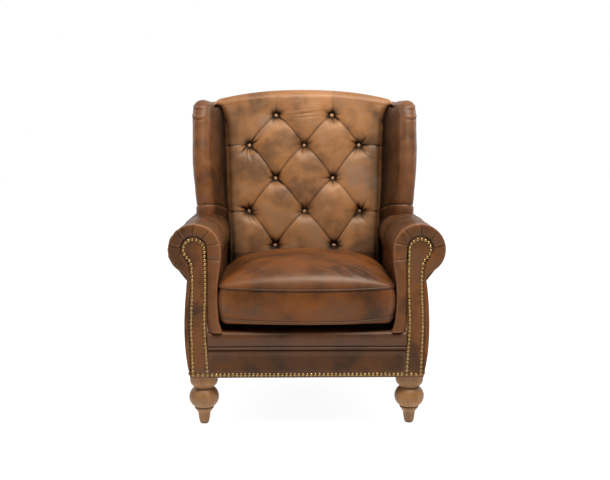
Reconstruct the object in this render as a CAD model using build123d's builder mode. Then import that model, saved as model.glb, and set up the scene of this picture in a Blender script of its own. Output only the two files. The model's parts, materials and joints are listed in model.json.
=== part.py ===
"""Wing armchair with a deep-buttoned back, scroll arms and a loose seat cushion.

Millimetres. The chair faces -Y, +X is its right side as seen from the front, +Z is up.
The origin is on the floor, under the centre of the chair's bounding box.
Mirrored pieces are built on the +X side and copied to the -X side.
"""

from build123d import *
import os

# ---- driving dimensions --------------------------------------------------
LEATHER = 2.0  # hide thickness
FRONT_Y = -400.0  # front face of the arm facings and of the front border
FRAME_FRONT_Y = FRONT_Y + 9.0  # front of the wooden frame, behind the facings
BASE_Z = 160.0  # underside of the frame
RAIL_TOP_Z = 255.0
SEAT_BAND_Z = 310.0  # top of the padded front edge of the seat
DECK_Z = 318.0  # top of the sprung deck, under the cushion
TOP_Z = 1100.0  # crest of the back

ROLL_X, ROLL_Z, ROLL_R = 355.0, 573.0, 82.0  # scroll of the arm
ARM_IN_X = 285.5  # inside face of the arm
ARM_OUT_X = 388.0  # outside face of the arm
BASE_OUT_X = 374.0  # outside of the body at its lower edge
FLARE_Z = 250.0  # height where the outside starts to taper in

BACK_FACE_Y = 123.0  # front of the buttoned back, below the lumbar
LUMBAR_Z = 500.0
BACK_SLOPE = 0.25  # rake of the buttoned face, mm per mm
CORNER_X, CORNER_Z = 343.0, 1060.0  # upper corner of the back
POST_IN_X, POST_OUT_X = 330.0, 370.0  # back posts
TIMBER = 28.0  # thickness of the rails and arm posts

WING_TOP_Z = 1056.0
BUTTON_DEPTH = 35.0
BUTTON_R = 9.5
BUTTON_ROWS = (
    (1003.0, (-106.0, 106.0)),
    (890.0, (-208.0, 0.0, 208.0)),
    (767.0, (-108.0, 108.0)),
    (645.0, (-208.0, 0.0, 208.0)),
    (520.0, (-110.0, 110.0)),
)

NAIL_R, NAIL_HEIGHT, NAIL_PITCH = 4.8, 3.0, 12.8
NAIL_ROW_Z = 171.0  # the row along the lower edge

LEG_X, LEG_Y = 334.0, -354.0  # front leg axis
REAR_LEG_X, REAR_LEG_Y = 347.0, 262.0
GLIDE_H = 4.0

CUSHION_X = 279.0  # half the cushion's width, at the boxing
CUSHION_FRONT_Y, CUSHION_REAR_Y = -394.0, 112.0
CUSHION_BOW = 19.0  # how far the middle of the front bows out
CUSHION_BOTTOM_Z, CUSHION_SEAM_Z, CUSHION_TOP_Z = 318.5, 450.0, 516.0
WELT_R = 3.5


def back_face_y(z):
    """Front face of the buttoned back."""
    return BACK_FACE_Y + max(0.0, z - LUMBAR_Z) * BACK_SLOPE


def webbing_y(z):
    """Plane of the back webbing, on the front of the back posts."""
    return 215.0 + (z - 350.0) * 0.2


def outside_y(z):
    """Outside face of the back."""
    return 313.0 + (z - BASE_Z) / 9.0


def frame_rear_y(z):
    """Rear of the wooden frame, where the back board is fixed."""
    return outside_y(z) - 5.0


# ---- shared tool solids --------------------------------------------------
def cap_radius(radius, height):
    """Sphere radius of a dome with this base radius and height."""
    return (radius**2 + height**2) / (2 * height)


def prism_along_x(points, x0, x1):
    """A solid with the outline (y, z), from x0 to x1."""
    with BuildPart() as solid:
        with BuildSketch(Plane.YZ.offset(x0)):
            with BuildLine():
                Polyline(*points, close=True)
            make_face()
        extrude(amount=x1 - x0)
    return solid.part


def prism_along_y(points, y0, y1):
    """A solid with the outline (x, z), from y0 back to y1."""
    with BuildPart() as solid:
        with BuildSketch(Plane.XZ.offset(-y0)):
            with BuildLine():
                Polyline(*points, close=True)
            make_face()
        extrude(amount=y0 - y1)
    return solid.part


def block(x, y, z):
    """A box from its ranges along X, Y and Z."""
    with BuildPart() as solid:
        with Locations(((x[0] + x[1]) / 2, (y[0] + y[1]) / 2, (z[0] + z[1]) / 2)):
            Box(x[1] - x[0], y[1] - y[0], z[1] - z[0])
    return solid.part


def between(front, rear, z0, z1, x0=-480.0, x1=480.0):
    """The space between two leaning planes, each given as a function of height."""
    outline = [(front(z0), z0), (front(z1), z1), (rear(z1), z1), (rear(z0), z0)]
    return prism_along_x(outline, x0, x1)


def mirrored(part):
    """The same piece on the chair's other side."""
    return part.mirror(Plane.YZ)


written = []


def save(part, name):
    """Writes one sub-part as parts/NAME.step."""
    part.label = name
    export_step(part, f"parts/{name}.step")
    written.append(name)


def save_pair(part, name):
    """Writes the right-hand piece and its mirror image."""
    save(part, f"{name}_right")
    save(mirrored(part), f"{name}_left")


os.makedirs("parts", exist_ok=True)

REAR_TRIM = between(frame_rear_y, lambda z: 600.0, 100, 1200)


# ---- outlines ------------------------------------------------------------
def facing_outline(grow=0.0):
    """Keyhole outline of an arm facing, seen from the front."""
    head = (357.7, 574.0)
    radius = 41.0
    with BuildSketch() as outline:
        with BuildLine():
            over = CenterArc(head, radius, -42, 222)
            inner = Spline(
                over @ 1, (317, 430), (321, 337), (317.5, 265), (311, BASE_Z),
                tangents=((0, -1), (-0.05, -1)),
            )
            foot = Line(inner @ 1, (370, BASE_Z))
            Spline(
                foot @ 1, (373.5, 250), (376, 337), (371, 420), (369, 500), over @ 0,
                tangents=((0.05, 1), (0.75, 0.66)),
            )
        make_face()
        if grow:
            offset(amount=grow)
    return outline.sketch


def arm_outline(inset=0.0):
    """Scroll and inside slab of an arm, without the outside panel."""
    with BuildSketch() as outline:
        with Locations((ROLL_X, ROLL_Z)):
            Circle(ROLL_R - inset)
        low = RAIL_TOP_Z + 7
        x0 = ARM_IN_X + inset
        with Locations(((x0 + ROLL_X) / 2, (low + ROLL_Z) / 2)):
            Rectangle(ROLL_X - x0, ROLL_Z - low)
    return outline.sketch


def back_outline(inset=0.0, low=DECK_Z + 2):
    """The buttoned back seen from the front, with its arched crest."""
    half = [(275, low), (277, 560), (290, 745), (296, 930), (304, 995), (CORNER_X, CORNER_Z)]
    with BuildSketch() as outline:
        with BuildLine():
            Polyline(*[(-x, z) for x, z in half])
            Polyline(*half)
            ThreePointArc((-CORNER_X, CORNER_Z), (0, TOP_Z), (CORNER_X, CORNER_Z))
            Line((-half[0][0], low), (half[0][0], low))
        make_face()
        if inset:
            offset(amount=-inset)
    return outline.sketch


def from_front(outline, y0, y1):
    """Extrudes an outline drawn in (x, z) from y0 back to y1."""
    with BuildPart() as solid:
        with BuildSketch(Plane.XZ.offset(-y0)):
            add(outline)
        extrude(amount=y0 - y1)
    return solid.part


FACING = from_front(facing_outline(), FRONT_Y - 20, FRAME_FRONT_Y)
ARM_SPACE = from_front(arm_outline(), FRONT_Y - 20, 500.0)


def back_soft(inset, rear=webbing_y):
    """Padding of the back with its cover, before the dimples are pulled in."""
    low, high = DECK_Z + 2 + inset, 1150
    side = prism_along_x(
        [
            (BACK_FACE_Y + inset, low),
            (BACK_FACE_Y + inset, LUMBAR_Z),
            (back_face_y(high) + inset, high),
            (rear(high), high),
            (rear(low), low),
        ],
        -480,
        480,
    )
    return from_front(back_outline(inset), 0.0, 500.0) & side


BACK_SPACE = back_soft(0, lambda z: 480.0)


# ---- wooden frame --------------------------------------------------------
def arm_post():
    """Front post of an arm: a board cut to the scroll's shape."""
    with BuildPart() as post:
        with BuildSketch(Plane.XZ.offset(-FRAME_FRONT_Y)):
            with Locations((335, (BASE_Z + ROLL_Z) / 2)):
                Rectangle(70, ROLL_Z - BASE_Z)
            with Locations((ROLL_X, ROLL_Z)):
                Circle(ROLL_R - 20)
        extrude(amount=-TIMBER)
    return post.part


POST_REAR_Y = FRAME_FRONT_Y + TIMBER
POST = arm_post()
save_pair(POST, "arm_post")


def back_post():
    """Tapered rear upright, raked with the back."""
    front = 217.0
    bend = 350.0
    top = 1030.0
    outline = [
        (front, BASE_Z),
        (front, bend),
        (webbing_y(top) + LEATHER, top),
        (frame_rear_y(top), top),
        (frame_rear_y(BASE_Z), BASE_Z),
    ]
    return prism_along_x(outline, POST_IN_X, POST_OUT_X)


BACK_POST = back_post()

SIDE_RAIL = block((POST_OUT_X - TIMBER, POST_OUT_X), (POST_REAR_Y, 217), (BASE_Z, RAIL_TOP_Z))
save_pair(SIDE_RAIL, "side_rail")
save(block((-300, 300), (FRAME_FRONT_Y, POST_REAR_Y), (BASE_Z, RAIL_TOP_Z)), "front_rail")
save(block((-POST_IN_X, POST_IN_X), (270, 270 + TIMBER), (BASE_Z, RAIL_TOP_Z)), "rear_rail")
LUMBAR_RAIL = block((-POST_IN_X, POST_IN_X), (222, 247), (330, 375))
save(LUMBAR_RAIL, "lumbar_rail")


def crest_rail():
    """Arched rail that joins the tops of the back posts."""
    with BuildPart() as rail:
        with BuildSketch(Plane.XZ):
            with BuildLine():
                drop = 15.0
                arch = ThreePointArc(
                    (-CORNER_X, CORNER_Z - drop), (0, TOP_Z - drop), (CORNER_X, CORNER_Z - drop)
                )
                Polyline(arch @ 0, (-CORNER_X, 1010), (CORNER_X, 1010), arch @ 1)
            make_face()
        extrude(amount=-500)
        lean = between(lambda z: webbing_y(z) + LEATHER, frame_rear_y, 1000, 1110, -POST_IN_X, POST_IN_X)
        add(lean, mode=Mode.INTERSECT)
    return rail.part


CREST_RAIL = crest_rail()
save(CREST_RAIL, "crest_rail")

ARM_BOARD = block((300, 306), (POST_REAR_Y, 217), (RAIL_TOP_Z + 7, 505))


def pair_of(part):
    """A piece and its mirror image as two solids of one node."""
    return Compound([*part.solids(), *mirrored(part).solids()])


save(pair_of(ARM_BOARD), "arm_inner_boards")


def corner_block(x, y, reach_x, reach_y):
    """Triangular block glued into a corner of the seat frame."""
    with BuildPart() as corner:
        with BuildSketch(Plane.XY.offset(BASE_Z)):
            with BuildLine():
                Polyline((x, y), (x + reach_x, y), (x, y + reach_y), close=True)
            make_face()
        extrude(amount=80)
    return corner.part


def hanger_bolt(x, y, z0, z1):
    """Steel bolt, half in the leg and half in the frame above it."""
    with BuildPart() as bolt:
        with BuildSketch(Plane.XY.offset(z0)):
            with Locations((x, y)):
                Circle(4)
        extrude(amount=z1 - z0)
    return bolt.part


FRONT_BOLT = hanger_bolt(LEG_X, LEG_Y, 118, 205)
REAR_BOLT = hanger_bolt(REAR_LEG_X, REAR_LEG_Y, 118, 205)
save(
    Compound([*pair_of(FRONT_BOLT).solids(), *pair_of(REAR_BOLT).solids()]),
    "hanger_bolts",
)

SIDE_IN_X = POST_OUT_X - TIMBER
FRONT_BLOCK = corner_block(SIDE_IN_X, POST_REAR_Y, -60, 60) - FRONT_BOLT
REAR_BLOCK = corner_block(POST_IN_X, 270, -55, -50)
save(
    Compound([*pair_of(FRONT_BLOCK).solids(), *pair_of(REAR_BLOCK).solids()]),
    "corner_blocks",
)
save_pair(BACK_POST - REAR_BOLT, "back_post")


# ---- legs ----------------------------------------------------------------
def front_leg():
    """Turned leg: top cushion, ball, collar and tapered foot."""
    with BuildPart() as leg:
        with BuildSketch(Plane.XZ):
            with BuildLine():
                Polyline((0, BASE_Z), (45, BASE_Z), (45, 147))
                ThreePointArc((45, 147), (41.5, 132), (32, 123))
                Line((32, 123), (32, 119.5))
                ThreePointArc((32, 119.5), (48, 90), (29, 56))
                ThreePointArc((29, 56), (31, 52.5), (28, 49))
                Spline((28, 49), (22, 40), (18.5, 24), (15, GLIDE_H), tangents=((-0.3, -1), (-0.2, -1)))
                Polyline((15, GLIDE_H), (0, GLIDE_H), (0, BASE_Z))
            make_face()
        revolve(axis=Axis.Z)
    return Pos(LEG_X, LEG_Y, 0) * leg.part


FRONT_LEG = front_leg() - FRONT_BOLT


def rear_leg():
    """Square tapered leg that rakes backwards."""
    with BuildPart() as leg:
        with BuildSketch(Plane.XY.offset(GLIDE_H)):
            with Locations((REAR_LEG_X, REAR_LEG_Y + 45)):
                RectangleRounded(30, 30, 3)
        with BuildSketch(Plane.XY.offset(BASE_Z)):
            with Locations((REAR_LEG_X, REAR_LEG_Y)):
                RectangleRounded(46, 46, 3)
        loft()
    return leg.part


REAR_LEG = rear_leg() - REAR_BOLT
save_pair(FRONT_LEG, "front_leg")
save_pair(REAR_LEG, "rear_leg")


def glides():
    """Nail-on glides under the four feet."""
    with BuildPart() as pads:
        with Locations(
            (LEG_X, LEG_Y, GLIDE_H / 2),
            (-LEG_X, LEG_Y, GLIDE_H / 2),
            (REAR_LEG_X, REAR_LEG_Y + 45, GLIDE_H / 2),
            (-REAR_LEG_X, REAR_LEG_Y + 45, GLIDE_H / 2),
        ):
            Cylinder(12, GLIDE_H)
    return pads.part


save(glides(), "floor_glides")


# ---- seat suspension -----------------------------------------------------
SPRING_X = (-220.0, -110.0, 0.0, 110.0, 220.0)
SPRING_Z = RAIL_TOP_Z + 3.5
WIRE_R = 1.8


def seat_spring():
    """One zig-zag spring, from the front rail to the rear rail, at X = 0."""
    first, last = -377.0, 284.0
    loops = 22
    step = (last - first) / loops
    swing = 22.0
    points = [(0, first)]
    for n in range(loops):
        side = swing if n % 2 else -swing
        points += [(side, first + (n + 0.18) * step), (side, first + (n + 0.82) * step)]
    points.append((0, last))
    with BuildPart() as spring:
        with BuildLine(Plane.XY.offset(SPRING_Z)) as path:
            FilletPolyline(*points, radius=6)
        with BuildSketch(Plane(origin=path.line @ 0, z_dir=path.line % 0)):
            Circle(WIRE_R)
        sweep(path=path.line)
    return spring.part


SPRING = seat_spring()
save(Compound([(Pos(x, 0, 0) * SPRING).solid() for x in SPRING_X]), "seat_springs")


def spring_clips():
    """Steel clips that hold the springs on the rails."""
    with BuildPart() as clips:
        with Locations(*[(x, y, RAIL_TOP_Z + 3.5) for x in SPRING_X for y in (-377, 284)]):
            Box(26, 22, 7)
    return clips.part


save(spring_clips() - Compound([(Pos(x, 0, 0) * SPRING).solid() for x in SPRING_X]), "spring_clips")
save(block((-284, 284), (-340, 205), (266, DECK_Z - LEATHER)), "deck_pad")
save(block((-284, 284), (-340, 205), (DECK_Z - LEATHER, DECK_Z)), "deck_cover")


# ---- front border --------------------------------------------------------
FACINGS = Compound([*FACING.solids(), *mirrored(FACING).solids()])


def edge_roll(inset):
    """Padded front edge of the seat, between and in front of the arms."""
    low = RAIL_TOP_Z + 7
    with BuildPart() as roll:
        with BuildSketch(Plane.YZ.offset(-325)) as side:
            with BuildLine():
                Polyline(
                    (FRONT_Y - 4 + inset, low),
                    (FRONT_Y - 4 + inset, SEAT_BAND_Z - inset),
                    (-340, SEAT_BAND_Z - inset),
                    (-340, low),
                    close=True,
                )
            make_face()
            front_top = side.vertices().sort_by(Axis.Y)[-2:].sort_by(Axis.X)[0]
            fillet(front_top, 14 - inset)
        extrude(amount=650)
        add(FACINGS, mode=Mode.SUBTRACT)
        for x in ((284, 330), (-330, -284)):
            add(block(x, (FRAME_FRONT_Y, -330), (200, 400)), mode=Mode.SUBTRACT)
    return roll.part


EDGE_PAD = edge_roll(LEATHER)
save(EDGE_PAD, "edge_roll_pad")
save(edge_roll(0) - EDGE_PAD, "edge_roll_cover")
save(
    block((-325, 325), (FRONT_Y, FRAME_FRONT_Y), (BASE_Z, RAIL_TOP_Z - 3)) - FACINGS,
    "front_border",
)


def front_welt():
    """Piping between the border and the padded edge."""
    with BuildPart() as welt:
        with BuildSketch(Plane.YZ.offset(-330)):
            with Locations((FRONT_Y + 0.5, RAIL_TOP_Z + 2)):
                Circle(4.5)
        extrude(amount=660)
        add(FACINGS, mode=Mode.SUBTRACT)
    return welt.part


save(front_welt(), "front_welt")


# ---- back ----------------------------------------------------------------
def dimple(x, z, grow):
    """Cone of one buttoned dimple. grow makes it larger by the hide's thickness."""
    face = back_face_y(z)
    mouth, floor, ahead = 38.0, 12.0, 15.0
    slope = (mouth - floor) / BUTTON_DEPTH
    with BuildPart() as cone:
        with Locations(
            Location((x, face + (BUTTON_DEPTH + grow - ahead) / 2, z), (90, 0, 0))
        ):
            Cone(floor + grow, mouth + ahead * slope + grow * 1.4, BUTTON_DEPTH + grow + ahead)
    return cone.part


BUTTON_SPOTS = [(x, z) for z, row in BUTTON_ROWS for x in row]


def button_twine(x, z):
    """Waxed twine from a button, through the padding, to a toggle behind the webbing."""
    start = back_face_y(z) + BUTTON_DEPTH - 1
    end = webbing_y(z) + 9
    with BuildPart() as twine:
        with Locations(Location((x, (start + end) / 2, z), (90, 0, 0))):
            Cylinder(1.2, end - start)
        with Locations(Location((x, end + 3, z), (90, 0, 0))):
            Cylinder(6, 6)
    return twine.part


TWINES = Compound([button_twine(x, z).solid() for x, z in BUTTON_SPOTS])
save(TWINES, "button_twines")


def tufting_button(x, z):
    """Domed button covered in hide, seated at the bottom of its dimple."""
    rim, height = 2.0, 7.5
    with BuildPart() as button:
        with BuildSketch(Plane.XZ) as half:
            with BuildLine():
                Line((0, 0), (BUTTON_R, 0))
                Line((BUTTON_R, 0), (BUTTON_R, rim))
                RadiusArc((BUTTON_R, rim), (0, height), -cap_radius(BUTTON_R, height - rim))
                Line((0, height), (0, 0))
            make_face()
        revolve(axis=Axis.Z)
    seat = Location((x, back_face_y(z) + BUTTON_DEPTH, z), (90, 0, 0))
    return seat * button.part


BUTTONS = [tufting_button(x, z) - TWINES for x, z in BUTTON_SPOTS]
save(Compound([b.solid() for b in BUTTONS]), "tufting_buttons")


def back_pieces():
    """Foam and hide of the buttoned back."""
    foam, hide = back_soft(LEATHER), back_soft(0) - back_soft(LEATHER)
    for x, z in BUTTON_SPOTS:
        hollow, cup = dimple(x, z, 0), dimple(x, z, LEATHER)
        foam = foam - cup
        hide = hide + (cup & back_soft(0))
        hide = hide - hollow
    return foam - TWINES, hide - TWINES


BACK_FOAM, BACK_HIDE = back_pieces()
save(BACK_FOAM, "back_pad")
save(BACK_HIDE, "inside_back_cover")


def crest_layer(top_drop, bottom_drop):
    """An arched layer over the crest rail, between webbing and back board."""
    with BuildPart() as layer:
        with BuildSketch(Plane.XZ):
            with BuildLine():
                upper = ThreePointArc(
                    (-CORNER_X, CORNER_Z - top_drop),
                    (0, TOP_Z - top_drop),
                    (CORNER_X, CORNER_Z - top_drop),
                )
                lower = ThreePointArc(
                    (-CORNER_X, CORNER_Z - bottom_drop),
                    (0, TOP_Z - bottom_drop),
                    (CORNER_X, CORNER_Z - bottom_drop),
                )
                Line(upper @ 0, lower @ 0)
                Line(upper @ 1, lower @ 1)
            make_face()
        extrude(amount=-500)
        add(between(webbing_y, frame_rear_y, 1000, 1110), mode=Mode.INTERSECT)
    return layer.part


CREST_COVER = crest_layer(0, LEATHER)
CREST_PAD = crest_layer(LEATHER, 15) - BACK_POST - mirrored(BACK_POST)
save(CREST_COVER, "crest_cover")
save(CREST_PAD, "crest_pad")


def back_webbing():
    """Elastic straps stapled across the back posts."""
    width, reach = 60.0, 345.0
    straps = []
    for z in (430, 560, 690, 820, 950):
        strap = between(
            webbing_y, lambda h: webbing_y(h) + LEATHER, z - width / 2, z + width / 2, -reach, reach
        )
        straps += (strap - TWINES).solids()
    return Compound(straps)


WEBBING = back_webbing()
save(WEBBING, "back_webbing")


# ---- arms ----------------------------------------------------------------
ARM_RAIL = block((330, 380), (POST_REAR_Y, 275), (550, 590)) - BACK_POST - WEBBING
save_pair(ARM_RAIL, "arm_top_rail")


def arm_layer(inset):
    """Arm padding with its cover, cut back to the frame's rear and clear of the back."""
    whole = from_front(arm_outline(inset), FRAME_FRONT_Y, 480.0)
    return whole - REAR_TRIM - BACK_SPACE - BACK_POST - WEBBING - LUMBAR_RAIL


def arm_pieces():
    """Foam and hide of one arm."""
    hollow_x = (300.0, ARM_OUT_X - LEATHER)
    under = block(hollow_x, (-500, 500), (200, ROLL_Z - 60))
    roll = from_front(roll_disc(ROLL_R - LEATHER), FRAME_FRONT_Y, 480.0)
    foam = arm_layer(LEATHER) - (under - roll) - POST - ARM_RAIL - ARM_BOARD
    hide = arm_layer(0) - arm_layer(LEATHER) - block((288, 386), (-500, 500), (200, 540))
    return foam, hide


def roll_disc(radius):
    """Section of the arm's roll."""
    with BuildSketch() as disc:
        with Locations((ROLL_X, ROLL_Z)):
            Circle(radius)
    return disc.sketch


ARM_FOAM, ARM_HIDE = arm_pieces()
save_pair(ARM_FOAM, "arm_pad")
save_pair(ARM_HIDE, "arm_cover")


def outside_arm():
    """Flat hide panel on the outside of an arm, under the roll."""
    line = [(BASE_OUT_X, BASE_Z), (ARM_OUT_X, FLARE_Z), (ARM_OUT_X, 505)]
    inner = [(x - LEATHER, z) for x, z in reversed(line)]
    panel = prism_along_y(line + inner, FRAME_FRONT_Y, 480)
    roll = from_front(roll_disc(ROLL_R), FRAME_FRONT_Y, 480.0)
    return panel - roll - REAR_TRIM


save_pair(outside_arm(), "outside_arm")


def arm_front_border():
    """Padded, pleated hide round the facing."""
    with BuildPart() as border:
        with BuildSketch(Plane.XZ.offset(-(FRONT_Y - 5))):
            with Locations((ROLL_X, ROLL_Z)):
                Circle(ROLL_R)
            with BuildLine():
                Polyline(
                    (ARM_IN_X, ROLL_Z), (ARM_IN_X, SEAT_BAND_Z), (330, SEAT_BAND_Z),
                    (330, BASE_Z), (BASE_OUT_X, BASE_Z), (ARM_OUT_X, FLARE_Z),
                    (ARM_OUT_X, ROLL_Z), close=True,
                )
            make_face()
        extrude(amount=-(FRAME_FRONT_Y - FRONT_Y + 5))
        add(FACING, mode=Mode.SUBTRACT)
    return border.part


save_pair(arm_front_border(), "arm_front_border")
save_pair(from_front(facing_outline(), FRONT_Y, FRAME_FRONT_Y), "facing_panel")


# ---- wings ---------------------------------------------------------------
def wing_layer(inset):
    """Wing with its padding, cut clear of the arm and the back."""
    lean = 0.05
    outer = [(200, 500), (379.1 - inset, 500), (379.1 + 600 * lean - inset, 1100), (200, 1100)]
    splay = 0.17
    with BuildPart() as wing:
        with BuildSketch(Plane.YZ.offset(200)) as side:
            with BuildLine():
                Polyline(
                    (-32, 600), (-32, 700), (62, WING_TOP_Z - 40), (74, WING_TOP_Z),
                    (frame_rear_y(WING_TOP_Z), WING_TOP_Z), (frame_rear_y(600), 600), close=True,
                )
            make_face()
            corner = side.vertices().sort_by(Axis.Y)[-2:].sort_by(Axis.X)[0]
            fillet(corner, 36)
            if inset:
                offset(amount=-inset, kind=Kind.INTERSECTION)
        extrude(amount=260)
        add(prism_along_y(outer, -100, 500), mode=Mode.INTERSECT)
        with BuildSketch(Plane.XY.offset(480)):
            with BuildLine():
                Polyline(
                    (348.6 + inset, -100), (500, -100), (500, 500), (348.6 - 600 * splay + inset, 500),
                    close=True,
                )
            make_face()
        extrude(amount=650, mode=Mode.INTERSECT)
    return wing.part - ARM_SPACE - BACK_SPACE - CREST_RAIL - CREST_PAD - CREST_COVER


WING_INNER = wing_layer(LEATHER)
WING_HIDE = wing_layer(0) - WING_INNER - BACK_POST - WEBBING


def wing_board():
    """Shaped board that stiffens a wing, screwed to the back post."""
    outline = [
        (0, 680), (0, 715), (90, WING_TOP_Z - 40), (104, WING_TOP_Z - 30),
        (webbing_y(1026) + LEATHER, WING_TOP_Z - 30), (webbing_y(680) + LEATHER, 680),
    ]
    return prism_along_x(outline, 352, 370)


WING_BOARD = wing_board() & WING_INNER
save(pair_of(WING_BOARD), "wing_boards")
WING_FOAM = WING_INNER - WING_BOARD - BACK_POST - WEBBING
save_pair(WING_FOAM, "wing_pad")
save_pair(WING_HIDE, "wing_cover")


# ---- outside back --------------------------------------------------------
def outside_panel(front, rear):
    """A layer of the outside back: body, rolls, wings and crest in one outline."""
    lean = 0.05
    wing_low_x = 379.1 + (ROLL_Z - 500) * lean
    wing_top_x = 379.1 + (1000 - 500) * lean
    with BuildPart() as panel:
        with BuildSketch(Plane.XZ):
            for side in (1, -1):
                with Locations((side * ROLL_X, ROLL_Z)):
                    Circle(ROLL_R)
            with BuildLine():
                half = [
                    (BASE_OUT_X, BASE_Z), (ARM_OUT_X, FLARE_Z), (ARM_OUT_X, ROLL_Z),
                    (wing_low_x, ROLL_Z), (wing_top_x, 1000), (wing_top_x - 6, 1040),
                    (wing_top_x - 26, WING_TOP_Z), (CORNER_X, CORNER_Z),
                ]
                Polyline(*half)
                Polyline(*[(-x, z) for x, z in half])
                ThreePointArc((-CORNER_X, CORNER_Z), (0, TOP_Z), (CORNER_X, CORNER_Z))
                Line((-BASE_OUT_X, BASE_Z), (BASE_OUT_X, BASE_Z))
            make_face()
        extrude(amount=-600)
        add(between(front, rear, BASE_Z, 1150), mode=Mode.INTERSECT)
    return panel.part


save(outside_panel(frame_rear_y, lambda z: outside_y(z) - LEATHER), "back_board")
save(outside_panel(lambda z: outside_y(z) - LEATHER, outside_y), "outside_back_cover")


# ---- decorative nails ----------------------------------------------------
def nail():
    """Head of a domed brass nail, seated on the XY plane."""
    with BuildPart() as one:
        with BuildSketch(Plane.XZ):
            with BuildLine():
                Line((0, 0), (NAIL_R, 0))
                RadiusArc((NAIL_R, 0), (0, NAIL_HEIGHT), -cap_radius(NAIL_R, NAIL_HEIGHT))
                Line((0, NAIL_HEIGHT), (0, 0))
            make_face()
        revolve(axis=Axis.Z)
    return one.part


NAIL = nail()


def nail_line():
    """Path of the nails on the right facing: up the inside, over the scroll, down the outside."""
    head, radius = (357.7, 574.0), 34.5
    with BuildLine(Plane.XZ) as line:
        over = CenterArc(head, radius, -42, 222)
        Spline(
            over @ 1, (323.5, 430), (327.5, 337), (324, 265), (318, NAIL_ROW_Z),
            tangents=((0, -1), (-0.05, -1)),
        )
        Spline(
            (363, NAIL_ROW_Z), (367, 250), (369.5, 337), (364.5, 420), (362.5, 500), over @ 0,
            tangents=((0.05, 1), (0.75, 0.66)),
        )
    return line.wires()[0]


def front_nails():
    """Nails on both facings and along the lower edge of the front."""
    path = nail_line()
    count = round(path.length / NAIL_PITCH)
    spots = []
    for n in range(count + 1):
        point = path @ (n / count)
        spots += [(point.X, point.Z), (-point.X, point.Z)]
    spots += [(side * x, NAIL_ROW_Z) for side in (1, -1) for x in (333, 348)]
    row = 46
    spots += [(-305 + 610 * n / (row - 1), NAIL_ROW_Z) for n in range(row)]
    return [Location((x, FRONT_Y, z), (90, 0, 0)) for x, z in spots]


def side_nails():
    """Nails along the lower edge of both outside arms."""
    reach = ARM_OUT_X - BASE_OUT_X
    tilt = 90 + 8.84
    x = BASE_OUT_X + reach * (NAIL_ROW_Z - BASE_Z) / (FLARE_Z - BASE_Z)
    count = 53
    first, last = -385.0, 295.0
    spots = []
    for n in range(count):
        y = first + (last - first) * n / (count - 1)
        spots.append(Location((x, y, NAIL_ROW_Z), (0, tilt, 0)))
        spots.append(Location((-x, y, NAIL_ROW_Z), (0, -tilt, 0)))
    return spots


save(Compound([(spot * NAIL).solid() for spot in front_nails()]), "front_nails")
save(Compound([(spot * NAIL).solid() for spot in side_nails()]), "side_nails")

DUST_HOLES = Compound(
    [*FRONT_LEG.solids(), *REAR_LEG.solids(), *mirrored(FRONT_LEG).solids(), *mirrored(REAR_LEG).solids()]
)
save(block((-368, 368), (FRAME_FRONT_Y, 300), (BASE_Z - 1.5, BASE_Z)) - DUST_HOLES
     - Compound([*pair_of(FRONT_BOLT).solids(), *pair_of(REAR_BOLT).solids()]), "dust_cover")


# ---- loose seat cushion --------------------------------------------------
def cushion_outline(inset=0.0):
    """Plan of the cushion: square at the rear, bowed at the front."""
    corner = 30.0
    with BuildSketch() as outline:
        with BuildLine():
            ThreePointArc(
                (-CUSHION_X, CUSHION_FRONT_Y),
                (0, CUSHION_FRONT_Y - CUSHION_BOW),
                (CUSHION_X, CUSHION_FRONT_Y),
            )
            Polyline(
                (CUSHION_X, CUSHION_FRONT_Y), (CUSHION_X, CUSHION_REAR_Y),
                (-CUSHION_X, CUSHION_REAR_Y), (-CUSHION_X, CUSHION_FRONT_Y),
            )
        make_face()
        fillet(outline.vertices(), corner)
        if inset:
            offset(amount=-inset)
    return outline.sketch


def cushion_body(inset):
    """Boxing with a crowned top."""
    outline = cushion_outline(inset)
    with BuildPart() as body:
        with BuildSketch(Plane.XY.offset(CUSHION_BOTTOM_Z + inset)):
            add(outline)
        extrude(amount=CUSHION_SEAM_Z - CUSHION_BOTTOM_Z - inset)
        with BuildSketch(Plane.XY.offset(CUSHION_SEAM_Z)):
            add(outline)
        extrude(amount=CUSHION_TOP_Z - CUSHION_SEAM_Z - inset, taper=50)
    return body.part


def cushion_welts():
    """Piping round the cushion, along its upper and lower seams."""
    rings = []
    for z in (CUSHION_SEAM_Z, CUSHION_BOTTOM_Z + 14):
        path = (Pos(0, 0, z) * cushion_outline(-2.0)).faces()[0].outer_wire()
        with BuildPart() as ring:
            with BuildSketch(Plane(origin=path @ 0, z_dir=path % 0)):
                Circle(WELT_R)
            sweep(path=path)
        rings += ring.part.solids()
    return Compound(rings)


WELTS = cushion_welts()
CUSHION_CORE = cushion_body(LEATHER)
save(CUSHION_CORE, "cushion_core")
save(cushion_body(0) - CUSHION_CORE - WELTS, "cushion_casing")
save(WELTS, "cushion_welts")

ZIP_Z = 385.0
ZIP_HALF = 225.0


def cushion_zip():
    """Zip tape and teeth along the rear of the boxing."""
    with BuildPart() as zipper:
        with Locations((0, CUSHION_REAR_Y + 0.6, ZIP_Z)):
            Box(2 * ZIP_HALF + 10, 1.2, 26)
        with Locations((0, CUSHION_REAR_Y + 1.9, ZIP_Z)):
            Box(2 * ZIP_HALF, 1.4, 5)
    return zipper.part


def zip_slider():
    """Zip slider with its pull, at the closed end of the zip."""
    y0 = CUSHION_REAR_Y + 2.9
    with BuildPart() as slider:
        with Locations((-ZIP_HALF + 8, y0 + 1.2, ZIP_Z)):
            Box(12, 2.4, 9)
        with Locations((-ZIP_HALF + 8, y0 + 3.0, ZIP_Z - 9)):
            Box(6, 1.2, 26)
    return slider.part


save(cushion_zip(), "cushion_zip")
save(zip_slider(), "zip_slider")
print(len(written), "files written,", len(set(written)), "nodes")
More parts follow.
